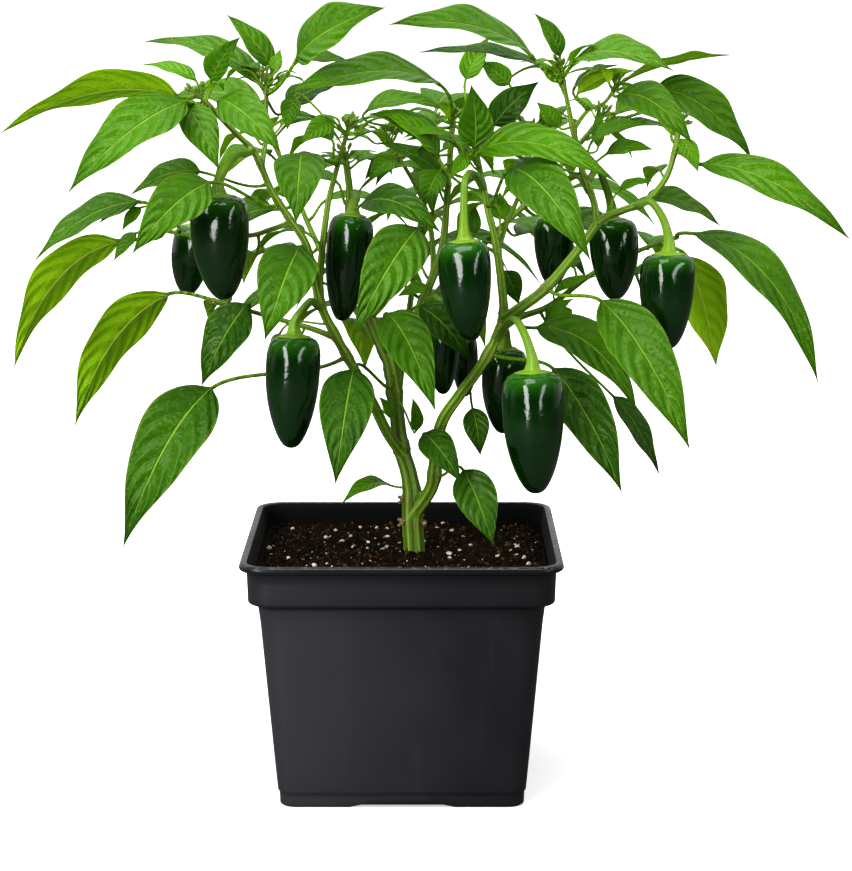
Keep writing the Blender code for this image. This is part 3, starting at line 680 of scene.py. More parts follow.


# %% [markdown]
# Stem: ridged and green, with painted highlights on the rib crests and painted shade in the grooves,
# older and duller low down, with corky tan rings where shoots leave.
# `youth` and `cork` are stored on the stem's points, and its UV map turns round the stem.

# %% Stem and stalk finishes
def stem_material():
    material, tree, shader = new_material("stem_bark")
    mottle = use_group(tree, blotches, Scale=160.0, Contrast=1.8)[0]
    fine = use_group(tree, blotches, Scale=900.0, Contrast=2.0)[0]
    turn = parts(tree, "ShaderNodeUVMap", "UV", uv_map="UVMap")[0]
    ridge = times(tree, maths(tree, "PINGPONG", turn, 1 / 12), 12.0)
    cork = times(tree, attribute(tree, "cork"), ramp(tree, fine, 0.35, 0.9))
    colour = overlay(tree, blend(tree, attribute(tree, "youth"), srgb(104, 142, 16), srgb(128, 176, 34)),
                     # Rib crests get a painted highlight and the grooves painted shade.
                     (ramp(tree, ridge, 0.55, 1.0), 0.7, (184, 210, 92)),
                     (ramp(tree, ridge, 0.0, 0.35, 1.0, 0.0), 0.5, (56, 92, 6)),
                     (mottle, 0.3, (82, 118, 14)), (cork, 0.8, (146, 118, 72)))
    dress(tree, shader, Base_Color=colour, Roughness=ramp(tree, mottle, 0.0, 1.0, 0.40, 0.58))
    add_bump(tree, shader, plus(tree, ridge, fine), 0.0003, 0.8)
    return material


def stalk_material():
    material, tree, shader = new_material("pedicel_green")
    mottle = use_group(tree, blotches, Scale=220.0, Contrast=1.6)[0]
    colour = overlay(tree, blend(tree, attribute(tree, "youth"), srgb(88, 132, 18), srgb(142, 184, 44)),
                     (mottle, 0.35, (88, 128, 22)))
    dress(tree, shader, Base_Color=colour, Roughness=0.38)
    add_bump(tree, shader, mottle, 0.0002, 0.6)
    return material


stem_bark = stem_material()
pedicel_green = stalk_material()


# %% [markdown]
# Pod: almost black green under a waxy clear gloss, with a painted glow of light near the shoulder where it
# meets the calyx. A coat gives the sharp streaks of the lamps, and a very shallow bump breaks them a
# little.

# %% Pod finish
def pod_material():
    material, tree, shader = new_material("pod_skin")
    mottle = use_group(tree, blotches, Scale=70.0, Contrast=1.5)[0]
    fine = use_group(tree, grain, Scale=260.0)[0]
    down = parts(tree, "ShaderNodeUVMap", "UV", uv_map="UVMap")[1]
    skin = blend(tree, times(tree, mottle, 0.7), srgb(2, 34, 1), srgb(10, 60, 3))
    # Painted light: the pod's top, near the calyx, is painted lighter, as if lit from above.
    shoulder = ramp(tree, down, 0.0, 0.22, 1.0, 0.0)
    dress(tree, shader, Base_Color=overlay(tree, skin, (shoulder, 0.8, (44, 112, 10))),
          Roughness=ramp(tree, mottle, 0.2, 0.8, 0.10, 0.17), Coat_Weight=0.45, Coat_Roughness=0.03,
          Specular_IOR_Level=0.42)
    add_bump(tree, shader, plus(tree, mottle, fine), 0.0007, 0.30)
    return material


pod_skin = pod_material()


# %% [markdown]
# Pot: charcoal polypropylene with a fine moulded grain and faint vertical drag marks from the mould,
# painted lighter towards its left side where the light falls, with painted shade on the collar under the
# lip, a darker lip, nearly black painted shade inside, and pale scuffs on top of the lip that are partly
# wear and partly a painted highlight.
# Soil: nearly black peat with brown fibres; perlite is white and dry.

# %% Pot and soil finishes
def pot_material():
    material, tree, shader = new_material("pot_plastic")
    fine = use_group(tree, grain, Scale=2600.0)[0]
    cloud = use_group(tree, blotches, Scale=26.0, Contrast=1.5)[0]
    drag = object_noise(tree, 120.0, 3.0, (1, 1, 0.06))
    x, _, z = parts(tree, "ShaderNodeTexCoord", "Object")
    # Painted light: the pot is lighter towards its left side, where the left lamp falls.
    painted_left_light = ramp(tree, x, -0.065, 0.065, 1.0, 0.0)
    # Painted shade on the collar under the lip's overhang.
    painted_collar_shade = ramp(tree, z, 0.1035, 0.1055)
    lip = ramp(tree, z, 0.1235, 0.1262)
    # Pale scuffs on top of the lip: partly wear and partly a painted highlight along the rim.
    scuff_and_glint_spots = ramp(tree, object_noise(tree, 420.0, 4.0), 0.50, 0.66)
    lip_wear_and_highlight = times(tree, ramp(tree, z, 0.1268, 0.1279), scuff_and_glint_spots)
    # The inside faces are painted nearly black: painted shade inside the pot.
    inner = attribute(tree, "underside")
    colour = overlay(tree, blend(tree, cloud, srgb(27, 27, 30), srgb(38, 38, 42)),
                     (ramp(tree, drag, 0.55, 0.75), 0.18, (66, 66, 73)), (painted_left_light, 0.75, (67, 67, 72)),
                     (painted_collar_shade, 0.45, (24, 24, 27)), (lip, 0.75, (26, 26, 29)),
                     (lip_wear_and_highlight, 0.6, (112, 112, 114)), (inner, 0.97, (2, 2, 3)))
    rough = weighed(tree, (ramp(tree, cloud, 0.2, 0.8, 0.32, 0.42), 1.0), (lip, -0.12), (lip_wear_and_highlight, 0.3),
                    (inner, 0.6))
    dress(tree, shader, Base_Color=colour, Roughness=rough, Specular_IOR_Level=0.42)
    add_bump(tree, shader, weighed(tree, (fine, 0.4), (drag, 0.25)), 0.00012, 0.7)
    return material


def soil_material(name, dark, light, pale, pale_share):
    material, tree, shader = new_material(name)
    clods = use_group(tree, blotches, Scale=260.0, Contrast=2.4)[0]
    fine = use_group(tree, grain, Scale=1400.0)[0]
    tone = ramp(tree, attribute(tree, "tone"), 1.0 - pale_share, 1.0)
    colour = blend(tree, clods, srgb(*dark), srgb(*light))
    colour = blend(tree, tone, colour, srgb(*pale))
    dress(tree, shader, Base_Color=colour, Roughness=0.92, Specular_IOR_Level=0.15)
    add_bump(tree, shader, plus(tree, clods, fine), 0.0006, 0.9)
    return material


pot_plastic = pot_material()
potting_soil = soil_material("potting_soil", (8, 5, 3), (34, 24, 13), (60, 40, 26), 0.0)
soil_crumb = soil_material("soil_crumb", (6, 4, 3), (46, 31, 18), (104, 74, 42), 0.12)
peat_fibre = soil_material("peat_fibre", (48, 32, 16), (104, 76, 40), (150, 116, 66), 0.3)
perlite_white = soil_material("perlite_white", (218, 212, 198), (250, 246, 238), (255, 253, 248), 0.5)


# %% [markdown]
# ## The pot
# A moulded pot is one profile carried round a rounded square. The profile goes up the outside, rolls
# over the lip and comes down inside to the floor. The drain arches are a lift of the lowest rings in
# the middle of each side. The sizes come from the pot's own solid.

# %% Pot
POT_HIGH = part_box("pot")[1]
RIM = POT_HIGH[0] / MM
TOP = POT_HIGH[2] / MM
WALL = 1.7
CORNER_STEPS = 10
SIDE_STEPS = 16


def square_ring(z, half, corner):
    """Rounded square with evenly split sides, counter-clockwise."""
    ring = []
    inner = half - corner
    for quarter in range(4):
        c, s = ((1, 0), (0, 1), (-1, 0), (0, -1))[quarter]
        spots = [(inner + corner * math.cos(a), inner + corner * math.sin(a))
                 for a in (k / CORNER_STEPS * math.pi / 2 for k in range(CORNER_STEPS + 1))]
        spots += [(inner - 2 * inner * k / SIDE_STEPS, half) for k in range(1, SIDE_STEPS)]
        ring += [Vector((x * c - y * s, x * s + y * c, z)) for x, y in spots]
    return ring


def arc(z, half, radius, start, end, steps):
    """Quarter turns of the profile: heights and half widths round a centre."""
    turns = [math.radians(start + (end - start) * k / steps) for k in range(steps + 1)]
    return [(z + radius * math.sin(a), half + radius * math.cos(a)) for a in turns]


BODY_TOP = RIM - 9.0
COLLAR = RIM - 4.0
FOOT = RIM - 18.4
profile = arc(1.6, FOOT - 1.6, 1.6, -90, 0, 5)
profile += [(5.0, FOOT + 0.1), (7.4, FOOT + 0.3), (8.0, FOOT + 0.9), (8.6, FOOT + 1.0)]
profile += [(8 + 97 * k / 10, FOOT + 1.0 + (BODY_TOP - FOOT - 1.0) * k / 10) for k in range(1, 10)]
profile += arc(103.8, BODY_TOP + 2.6, 2.4, 180, 92, 4)
profile += arc(108.6, COLLAR - 2.2, 2.2, -88, 0, 4)
profile += [(113.0, COLLAR + 0.1), (118.0, COLLAR + 0.3), (123.2, COLLAR + 0.5)]
profile += arc(TOP - 2.0, RIM - 2.0, 2.0, -80, 90, 9)
inside_from = len(profile) + 4
profile += arc(TOP - 1.6, COLLAR + 1.6, 1.6, 90, 180, 4)
profile += [(120.0, COLLAR - WALL + 0.4), (110.0, COLLAR - WALL), (107.4, COLLAR - WALL - 1.0)]
profile += [(105.0, BODY_TOP - WALL), (60.0, (FOOT + BODY_TOP) / 2 - WALL), (3.0, FOOT - WALL)]
rings = [square_ring(0.0, 30.0, 8.0), square_ring(0.0, 46.5, 8.0)]
rings += [square_ring(z, half, 7.5 + 5.0 * min(z, 124) / 124) for z, half in profile]
for ring in rings[1:9]:
    for k, point in enumerate(ring):
        offset = min(abs(point.x), abs(point.y))
        reach = 1 - min(max((offset - 22.0) / 2.0, 0), 1)
        lift = 1.6 * reach * max(0, 1 - max(point.z, 0) / 1.7)
        ring[k] = point + Vector((0, 0, lift))
pot_shell = Shell()
# The inside faces are marked underside, so that the finish paints shade inside the pot.
pot_shell.loft(rings, None, lambda k, i: 1.0 if k >= inside_from else 0.0)
add_piece("pot_body", pot_shell.mesh("pot_body"), pot_plastic, "pot_plastic", "pot")
print("pot rings:", len(rings))


# %% [markdown]
# ## The soil
# Loose soil is lumpy at two scales, so its top is a grid of rounded squares pushed up and down by
# noise, a little higher round the trunk. It's closed below, as the solid is.

# %% Soil
SOIL_LOW, SOIL_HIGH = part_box("soil")
SOIL_EDGE = SOIL_HIGH[0] / MM
SOIL_TOP = SOIL_HIGH[2] / MM
TRUNK_SPOT = stems["trunk"].at(0.4)[0]


def soil_height(x, y):
    spot = Vector((x, y, 0)) * 0.11
    lumps = noise.fractal(spot, 1.0, 2.2, 4) * 1.1 + noise.noise(spot * 5.3) * 0.45
    away = math.hypot(x - TRUNK_SPOT.x, y - TRUNK_SPOT.y)
    mound = 1.6 * math.exp(-(away / 14) ** 2)
    return SOIL_TOP - 1.0 + lumps + mound


rings = [square_ring(SOIL_LOW[2] / MM, FOOT - WALL - 2.5, 5.0),
         square_ring(100.0, BODY_TOP - WALL - 2.0, 8.0), square_ring(110.0, SOIL_EDGE - 0.4, 9.0)]
TOP_RINGS = 44
for k in range(TOP_RINGS):
    half = (SOIL_EDGE + 0.15) * (1 - k / TOP_RINGS)
    flat_ring = square_ring(0, half, min(9.0, half * 0.9))
    rings.append([Vector((p.x, p.y, soil_height(p.x, p.y))) for p in flat_ring])
rings.append([Vector((0, 0, soil_height(0, 0)))])
soil_shell = Shell()
soil_shell.loft(rings)
add_piece("soil_bed", soil_shell.mesh("soil_bed"), potting_soil, "potting_soil", "soil")


# %% [markdown]
# ## Crumbs, fibres and perlite
# Thousands of grains can't be placed by hand. A Geometry Nodes tree scatters points on the soil's
# top, puts a small rough lump on each at a random size and turn, then makes the lumps real. Lumps
# stretched eight times over are the peat's fibres.

# %% Scatter tree
def set_inputs(modifier, tree, **values):
    for item in tree.interface.items_tree:
        if item.in_out == "INPUT" and item.name.replace(" ", "_") in values:
            modifier[item.identifier] = values[item.name.replace(" ", "_")]


def geometry_group(name, inputs):
    """Geometry in and out, the given numbers, and a material."""
    given = {"Geometry": "NodeSocketGeometry", **inputs, "Material": "NodeSocketMaterial"}
    return new_group(name, given, ["Geometry"], "GeometryNodeTree")


def hand_out(tree, geometry, inlet, outlet):
    """Ends a tree: sets the material and gives the geometry out."""
    given = {"Geometry": geometry, "Material": inlet["Material"]}
    painted = node_out(tree, "GeometryNodeSetMaterial", given)
    wire(tree, painted, outlet["Geometry"])


def instances(tree, points, shape, rotation, scale):
    """The shape on every point, made real."""
    placed = node_out(tree, "GeometryNodeInstanceOnPoints",
                      {"Points": points, "Instance": shape, "Rotation": rotation, "Scale": scale})
    return node_out(tree, "GeometryNodeRealizeInstances", {"Geometry": placed})


def scatter_tree():
    tree, inlet, outlet = geometry_group("scatter_grains", {
        "Density": 1000.0, "Smallest": 0.0005, "Largest": 0.002, "Rough": 0.0004, "Stretch": 1.0,
        "Seed": 1, "Fineness": 1})
    points = node_out(tree, "GeometryNodeDistributePointsOnFaces",
                      {"Mesh": inlet["Geometry"], "Density": inlet["Density"], "Seed": inlet["Seed"]},
                      distribute_method="RANDOM")
    tone = add_node(tree, "FunctionNodeRandomValue", data_type="FLOAT").outputs[1]
    points = node_out(tree, "GeometryNodeStoreNamedAttribute",
                      {"Geometry": points, "Name": "tone", "Value": tone},
                      data_type="FLOAT", domain="POINT")
    lump = node_out(tree, "GeometryNodeMeshIcoSphere", {"Radius": 1.0, "Subdivisions": inlet["Fineness"]})
    stretch = node_out(tree, "ShaderNodeCombineXYZ", {0: inlet["Stretch"], 1: 1.0, 2: 1.0})
    lump = node_out(tree, "GeometryNodeTransform", {"Geometry": lump, "Scale": stretch})
    size = add_node(tree, "FunctionNodeRandomValue",
                    {2: inlet["Smallest"], 3: inlet["Largest"], "Seed": inlet["Seed"]}, data_type="FLOAT")
    turn = node_out(tree, "FunctionNodeRandomValue", {1: (6.28, 6.28, 6.28)}, data_type="FLOAT_VECTOR")
    grains = instances(tree, points, lump, turn, size.outputs[1])
    bumps = add_node(tree, "ShaderNodeTexNoise", {"Scale": 700.0}).outputs["Color"]
    push = node_out(tree, "ShaderNodeVectorMath", {0: bumps, 1: (0.5, 0.5, 0.5)}, operation="SUBTRACT")
    push = node_out(tree, "ShaderNodeVectorMath", {0: push, "Scale": inlet["Rough"]}, operation="SCALE")
    grains = node_out(tree, "GeometryNodeSetPosition", {"Geometry": grains, "Offset": push})
    hand_out(tree, grains, inlet, outlet)
    return tree


def grow(carrier, tree, **values):
    """Runs a tree on a carrier object and returns the result as a plain mesh."""
    modifier = carrier.modifiers.new(tree.name, "NODES")
    modifier.node_group = tree
    set_inputs(modifier, tree, **values)
    bpy.context.view_layer.update()
    settled = carrier.evaluated_get(bpy.context.evaluated_depsgraph_get())
    mesh = bpy.data.meshes.new_from_object(settled)
    carrier.modifiers.remove(modifier)
    return mesh


def temporary(name, data):
    thing = bpy.data.objects.new(name, data)
    bpy.context.scene.collection.objects.link(thing)
    return thing


top_mesh = bpy.data.meshes.new("soil_top")
steps = 60
reach = SOIL_EDGE - 2.5
row_length = steps + 1
levels = [-reach + 2 * reach * k / steps for k in range(row_length)]
spots = [(x, y) for y in levels for x in levels]
starts = [j * row_length + i for j in range(steps) for i in range(steps)]
quads = [(k, k + 1, k + 1 + row_length, k + row_length) for k in starts]
top_mesh.from_pydata([Vector((x, y, soil_height(x, y))) * MM for x, y in spots], [], quads)
carrier = temporary("soil_top", top_mesh)
scatter = scatter_tree()
for name, material, density, smallest, largest, rough, stretch, fineness, seed in (
        ("soil_crumbs", soil_crumb, 220000.0, 0.0003, 0.0015, 0.0018, 1.0, 1, 4),
        ("soil_fibres", peat_fibre, 26000.0, 0.0002, 0.0004, 0.0010, 8.0, 1, 31),
        ("perlite_dust", perlite_white, 15000.0, 0.0002, 0.0007, 0.0009, 1.0, 1, 11),
        ("perlite_grains", perlite_white, 2600.0, 0.0007, 0.0016, 0.0022, 1.0, 2, 23)):
    grains = grow(carrier, scatter, Density=density, Smallest=smallest, Largest=largest, Rough=rough,
                  Stretch=stretch, Fineness=fineness, Seed=seed, Material=material)
    grains.shade_smooth()
    add_piece(name, grains, material, "potting_soil")
    print(name, len(grains.polygons))
bpy.data.objects.remove(carrier)


# %% [markdown]
# ## Pods and their stalks
# A jalapeno pod is a blunt tapered body with faint lobes at the shoulder. Each pod is lofted from
# round rings along a slightly bowed axis, in the row of the same name in the table. Its curved
# pedicel and calyx come later from the ribbed sweep that also makes the stems.

# %% Pods
POD_PROFILE = ((0.0, 0.40), (0.012, 0.62), (0.035, 0.80), (0.08, 0.92), (0.16, 0.985), (0.28, 1.0),
               (0.44, 0.975), (0.58, 0.90), (0.70, 0.79), (0.80, 0.665), (0.88, 0.53), (0.94, 0.39),
               (0.975, 0.27), (0.993, 0.14))
POD_LEVELS = (0.0, 0.006, 0.012, 0.022, 0.035, 0.055, 0.08, 0.12, 0.16, 0.22, 0.28, 0.36, 0.44, 0.51,
              0.58, 0.64, 0.70, 0.75, 0.80, 0.84, 0.88, 0.91, 0.94, 0.96, 0.975, 0.985, 0.993)
POD_SIDES = 44


def pod_radius(t):
    """Smooth reading of the pod's profile."""
    for (t0, r0), (t1, r1) in zip(POD_PROFILE, POD_PROFILE[1:]):
        if t <= t1:
            return r0 + (r1 - r0) * (t - t0) / (t1 - t0)
    return 0.0


stalk_routes = []
for name, stem, share, way, shoulder, tip, radius in PEPPERS:
    shoulder = Vector(shoulder)
    tip = Vector(tip)
    axis = (tip - shoulder).normalized()
    side = any_side(axis)
    other = axis.cross(side)
    bend = side * wobble(name) * 1.4 + other * wobble(name, 1) * 1.0
    lobes = 3 + (wobble(name, 2) > 0)
    start_angle = wobble(name, 3) * math.pi
    rings = []
    ring_uvs = []
    for t in POD_LEVELS:
        centre = shoulder.lerp(tip, t) + bend * math.sin(math.pi * t)
        depth = 0.045 * math.exp(-t * 5) + 0.012
        ring = []
        for k in range(POD_SIDES):
            a = 2 * math.pi * k / POD_SIDES
            r = radius * pod_radius(t) * (1 + depth * math.cos(lobes * a + start_angle))
            ring.append(centre + r * (math.cos(a) * side + math.sin(a) * other))
        rings.append(ring)
        ring_uvs.append([(k / POD_SIDES, t) for k in range(POD_SIDES)])
    rings.append([tip])
    ring_uvs.append([(0.5, 1.0)])
    shell = Shell()
    shell.loft(rings, ring_uvs)
    mesh = shell.mesh(name + "_pod")
    work = bmesh.new()
    work.from_mesh(mesh)
    inner = [v for v in work.verts if not v.is_boundary]
    for _ in range(2):
        bmesh.ops.smooth_vert(work, verts=inner, factor=0.4,
                              use_axis_x=True, use_axis_y=True, use_axis_z=True)
    work.to_mesh(mesh)
    work.free()
    add_piece(name + "_pod", mesh, pod_skin, "pod_skin", name)
    origin, out, bark = stems[stem].leave(share, Vector(way[0]))
    stalk_routes.append((name, origin, out, bark, way, shoulder, axis, radius))
print("pods:", len(stalk_routes))


# %% [markdown]
# ## Ribbed sweeps
# Stems and pedicels of this plant aren't round: shallow ribs run along them. The tree takes a curve
# with a radius at each point and carries a ribbed circle along it, with closed ends.

# %% Sweep tree
def sweep_tree():
    tree, inlet, outlet = geometry_group("ribbed_sweep", {"Sides": 24, "Ribs": 6.0, "Rib Depth": 0.06})
    circle = node_out(tree, "GeometryNodeCurvePrimitiveCircle",
                      {"Radius": 1.0, "Resolution": inlet["Sides"]}, mode="RADIUS")
    turn = maths(tree, "DIVIDE", node_out(tree, "GeometryNodeInputIndex"), inlet["Sides"])
    turn = times(tree, times(tree, turn, inlet["Ribs"]), 2 * math.pi)
    grown = plus(tree, times(tree, maths(tree, "COSINE", turn), inlet["Rib Depth"]), 1.0)
    position = node_out(tree, "GeometryNodeInputPosition")
    ribbed = node_out(tree, "ShaderNodeVectorMath", {0: position, "Scale": grown}, operation="SCALE")
    outline = node_out(tree, "GeometryNodeSetPosition", {"Geometry": circle, "Position": ribbed})
    sweep = add_node(tree, "GeometryNodeCurveToMesh",
                     {"Curve": inlet["Geometry"], "Profile Curve": outline, "Fill Caps": True})
    if "Scale" in sweep.inputs:
        wire(tree, node_out(tree, "GeometryNodeInputRadius"), sweep.inputs["Scale"])
    real = node_out(tree, "GeometryNodeRealizeInstances", {"Geometry": sweep.outputs[0]})
    hand_out(tree, real, inlet, outlet)
    return tree


def curve_object(name, runs):
    """Curve with one straight-segment spline for each run of (point, radius)."""
    data = bpy.data.curves.new(name, "CURVE")
    data.dimensions = "3D"
    for run in runs:
        spline = data.splines.new("POLY")
        spline.points.add(len(run) - 1)
        for spot, (point, radius) in zip(spline.points, run):
            spot.co = (*(point * MM), 1.0)
            spot.radius = radius * MM
    return temporary(name, data)


def sweep_mesh(name, runs, material, **values):
    carrier = curve_object(name, runs)
    mesh = grow(carrier, ribbed_sweep, Material=material, **values)
    bpy.data.objects.remove(carrier)
    return mesh


ribbed_sweep = sweep_tree()


# %% [markdown]
# ## Leaves
# A blade is a thin closed shell. Its midrib is a Bezier curve from base to tip that arches over, the
# two halves rise from it in a shallow V and relax towards the margin, the margin waves a little, and
# the tissue pillows up between the side veins. A blade that curls looks narrower than it is, so each
# is a little slimmer than its row says, and `CURLED` narrows or widens some further. The petiole is
# the same loft drawn in to a round stalk, so that leaf and stalk are one skin, as on the plant.

# %% Leaf shape
ACROSS = 13
RINGS = 46
THICK = 0.16
SLIM = 0.91
CURLED = {"leaf_far_left_top": 1.12, "leaf_far_left_upper": 0.86, "leaf_left_front_round": 0.92,
          "leaf_far_right_top": 0.80, "leaf_far_right_arching": 0.80, "leaf_right_top_rear": 0.84,
          "leaf_top_left_long": 0.88, "leaf_right_low": 0.92, "leaf_centre_front_large": 0.94}


def blade_width(t):
    """Ovate with a drawn-out tip: 1 at its widest, a third of the way along."""
    return (t / 0.34) ** 0.75 * ((1 - t) / 0.66) ** 1.46 if 0 < t < 1 else 0.0


def vein_phase(x, t, left):
    return PAIRS * (t - SWEEP_BACK * x - SWEEP_CURVE * x * x) + (0 if left else STAGGER)


def leaf_into(shell, row, tone, rings=RINGS, across=ACROSS):
    """Adds one leaf, petiole and blade, to a shell."""
    name, stem, share, base, tip, width, turn, bow, fold = row
    base = Vector(base)
    tip = Vector(tip)
    chord = tip - base
    along = chord.normalized()
    front = Vector((0, -1, 0))
    front = (front - front.dot(along) * along).normalized()
    sky = Vector((0, 0, 1))
    sky = (sky - sky.dot(along) * along).normalized()
    angle = math.radians(turn)
    face = (front * math.cos(angle) + sky * math.sin(angle)).normalized()
    lift = (face + sky).normalized() * bow * chord.length
    knee = base + chord * 0.28 + lift * 1.45
    droop = base + chord * 0.68 + lift * 1.1
    start, out, bark = stems[stem].leave(share, base.lerp(knee, -0.2))
    start = start + out * bark * 0.6
    reach = (base - start).length
    pull = (knee - base).normalized() * reach * 0.35
    stalk_steps = max(5, int(reach / 3))
    stalk_radius = min(0.95, 0.42 + width / 66)
    shares = [k / stalk_steps for k in range(stalk_steps)]
    path = [bezier(start, start + out * reach * 0.3, base - pull, base, t) for t in shares]
    steps = [(k / rings) ** 1.12 for k in range(rings + 1)]
    path += [bezier(base, knee, droop, tip, t) for t in steps]
    side = (knee - base).cross(face).normalized()
    frames = path_frames(path[stalk_steps:], side)
    stalk = path_frames(list(reversed(path[:stalk_steps + 1])), side)[1:]
    count = 2 * across - 2
    all_rings = []
    all_uvs = []
    for k, (point, tangent, side) in enumerate(reversed(stalk)):
        tangent = -tangent
        up = side.cross(tangent)
        thick = stalk_radius * (1 + 0.55 * math.exp(-k * 1.1))
        ring = []
        for j in range(count):
            a = math.pi * (1 - j / (across - 1))
            groove = 1 - 0.25 * max(0, math.sin(a)) ** 8
            ring.append(point + thick * (math.cos(a) * side + math.sin(a) * groove * up))
        all_rings.append(ring)
        all_uvs.append([(0.5, -1 + k / stalk_steps)] * count)
    rise = math.radians(fold)
    slim = SLIM * CURLED.get(name, 1.0)
    twist = 0.22 * wobble(name)
    for t, (point, tangent, _) in zip(steps[:-1], frames[:-1]):
        side = tangent.cross(face).normalized()
        up = side.cross(tangent)
        roll = twist * (t - 0.3)
        c, s = math.cos(roll), math.sin(roll)
        side, up = side * c + up * s, up * c - side * s
        half = 0.5 * slim * width * blade_width(t)
        rib = stalk_radius * (1 - 0.75 * t) * min(1, (1 - t) * 6)
        half = max(half, rib)
        opened = min(1.0, t / 0.05)
        top = []
        bottom = []
        uvs = []
        for j in range(across):
            x = -math.cos(math.pi * j / (across - 1))
            ax = abs(x)
            high = half * math.sin(rise) * (1.5 * ax - 0.75 * ax * ax)
            sway = math.sin(2 * math.pi * (2.3 * t + wobble(name, 5) + (0.35 if x > 0 else 0)))
            high += 0.035 * width * sway * ax ** 3 * math.sin(math.pi * t)
            cell = abs((vein_phase(ax, t, x < 0) % 1) - 0.5) * 2
            puff = math.sin(math.pi * ax) * math.sin(math.pi * t) * opened
            high += 0.015 * width * (1 - cell ** 2) * puff
            middle = point + side * half * x * math.cos(rise * 0.7) + up * high * opened
            ridge = math.exp(-(x * half / (rib + 0.2)) ** 2)
            round_top = rib * (1 - opened)
            edge = math.sqrt(max(0, 1 - ax ** 2)) if opened < 1 else 1.0
            skin = THICK * (1 - ax ** 6) + round_top * edge
            top.append(middle + up * skin)
            bottom.append(middle - up * (skin + rib * 0.8 * ridge * opened))
            uvs.append((0.5 + 0.5 * x, t))
        all_rings.append(top + bottom[-2:0:-1])
        all_uvs.append(uvs + uvs[-2:0:-1])
    all_rings.append([tip])
    all_uvs.append([(0.5, 1.0)])
    shell.loft(all_rings, all_uvs, lambda k, i: 1.0 if i >= across - 1 and k >= stalk_steps else 0.0, tone,
               min(1.0, max(0.2, chord.length / 75)))


# Painted shade for dark and shaded leaves, painted light shining through back and rear ones.
TONE_AND_LIGHT_OF_WORD = {"dark": -0.45, "shaded": -0.15, "bright": 0.35, "small": 0.45, "tip": 0.35, "rear_": 0.3,
                "back": 0.2, "low": -0.35, "top": 0.12}


def leaf_tone_and_light(name, turn):
    """Tone of a leaf from the words in its name and a little chance: small and tip leaves are young and
    yellower, dark and shaded ones get painted shade, back and rear ones painted light shining through, low
    ones darker, top ones and those turned past 110 degrees lighter.
    """
    base = 0.62 if turn > 110 else 0.45
    base += sum(shift for word, shift in TONE_AND_LIGHT_OF_WORD.items() if word in name)
    return min(1, max(0, base + 0.12 * wobble(name, 7)))


# %% Main leaves, one piece each
for row in LEAVES:
    shell = Shell()
    leaf_into(shell, row, leaf_tone_and_light(row[0], row[6]))
    add_piece(row[0] + "_blade", shell.mesh(row[0] + "_blade"), leaf_tissue, "leaf_green", row[0])
print("main leaves:", len(LEAVES))

# %% [markdown]
# Joints are the spots on each stem where a leaf, a stalk or a shoot leaves, noted while the rows were
# laid out. The trunk's own two, with their rings of knobs, are at heights read from the plant.

# %% Joints
KNOBBY_HEIGHTS = (134.0, 146.0)
trunk = stems["trunk"]
joints = {stem.name: sorted(set(stem.nodes)) for stem in stems.values()}
joints["trunk"] = [trunk.nearest(Vector((*trunk.at(0.5)[0].xy, height))) for height in KNOBBY_HEIGHTS]
print("joints:", sum(len(shares) for shares in joints.values()))


# %% [markdown]
# The smaller leaves are grouped by the part of the plant they grow on, a few pieces in all. At the
# back, where the crown is closed too, leaves follow a rule instead of a table: pairs at even steps
# along each rear stem, each turned on from the last by the golden angle, as chilli leaves are.

# %% Smaller leaves
def sprout(name, stem, share, turn_angle, length, hang, rearward=0.25):
    """Row for a leaf that grows out of a stem at an angle round it and hangs by an angle."""
    point, direction, radius = stems[stem].at(share)
    side = any_side(direction)
    out = side * math.cos(turn_angle) + direction.cross(side) * math.sin(turn_angle)
    out = (out + direction * 0.35 + Vector((0, rearward, 0))).normalized()
    base = point + out * (length * 0.22 + 4)
    flat = Vector((out.x, out.y, 0)).normalized()
    tip = base + (flat * math.cos(hang) - Vector((0, 0, 1)) * math.sin(hang)) * length
    return (name, stem, share, base, tip, 0.40 * length, 80, 0.17, 12)


sprouts = {"crown_left_leaves": [], "crown_right_leaves": [], "crown_back_leaves": [], "heart_leaves": [],
           "tip_leaves": [], "rear_leaves": []}
for row in SMALL_LEAVES:
    zone = "heart_leaves"
    if row[3][0] < -45:
        zone = "crown_left_leaves"
    elif row[3][0] > 60:
        zone = "crown_right_leaves"
    sprouts[zone].append(row)
GOLDEN = math.radians(137.5)
for stem, first, last, count, length in (
        ("back_left_branch", 0.30, 0.98, 8, 62), ("back_right_branch", 0.28, 0.98, 9, 60),
        ("back_centre_branch", 0.35, 0.98, 9, 60), ("centre_twig", 0.45, 0.97, 5, 46)):
    for k in range(count):
        share = first + (last - first) * k / (count - 1)
        size = length * (1.05 - 0.35 * k / count) + 6 * wobble(stem, k)
        row = sprout("%s_%d" % (stem, k), stem, share, k * GOLDEN + 1.0, size, 0.55 - 0.35 * k / count)
        sprouts["crown_back_leaves"].append(row)


def clear_of_pods(row):
    """True where a generated leaf's midrib passes no pod closely."""
    for k in range(9):
        spot = Vector(row[3]).lerp(Vector(row[4]), k / 8)
        for pod in PEPPERS:
            top = Vector(pod[4])
            axis = Vector(pod[5]) - top
            share = min(1, max(-0.35, (spot - top).dot(axis) / axis.length_squared))
            if (spot - top - axis * share).length < pod[6] + 0.2 * row[5] + 4:
                return False
    return True


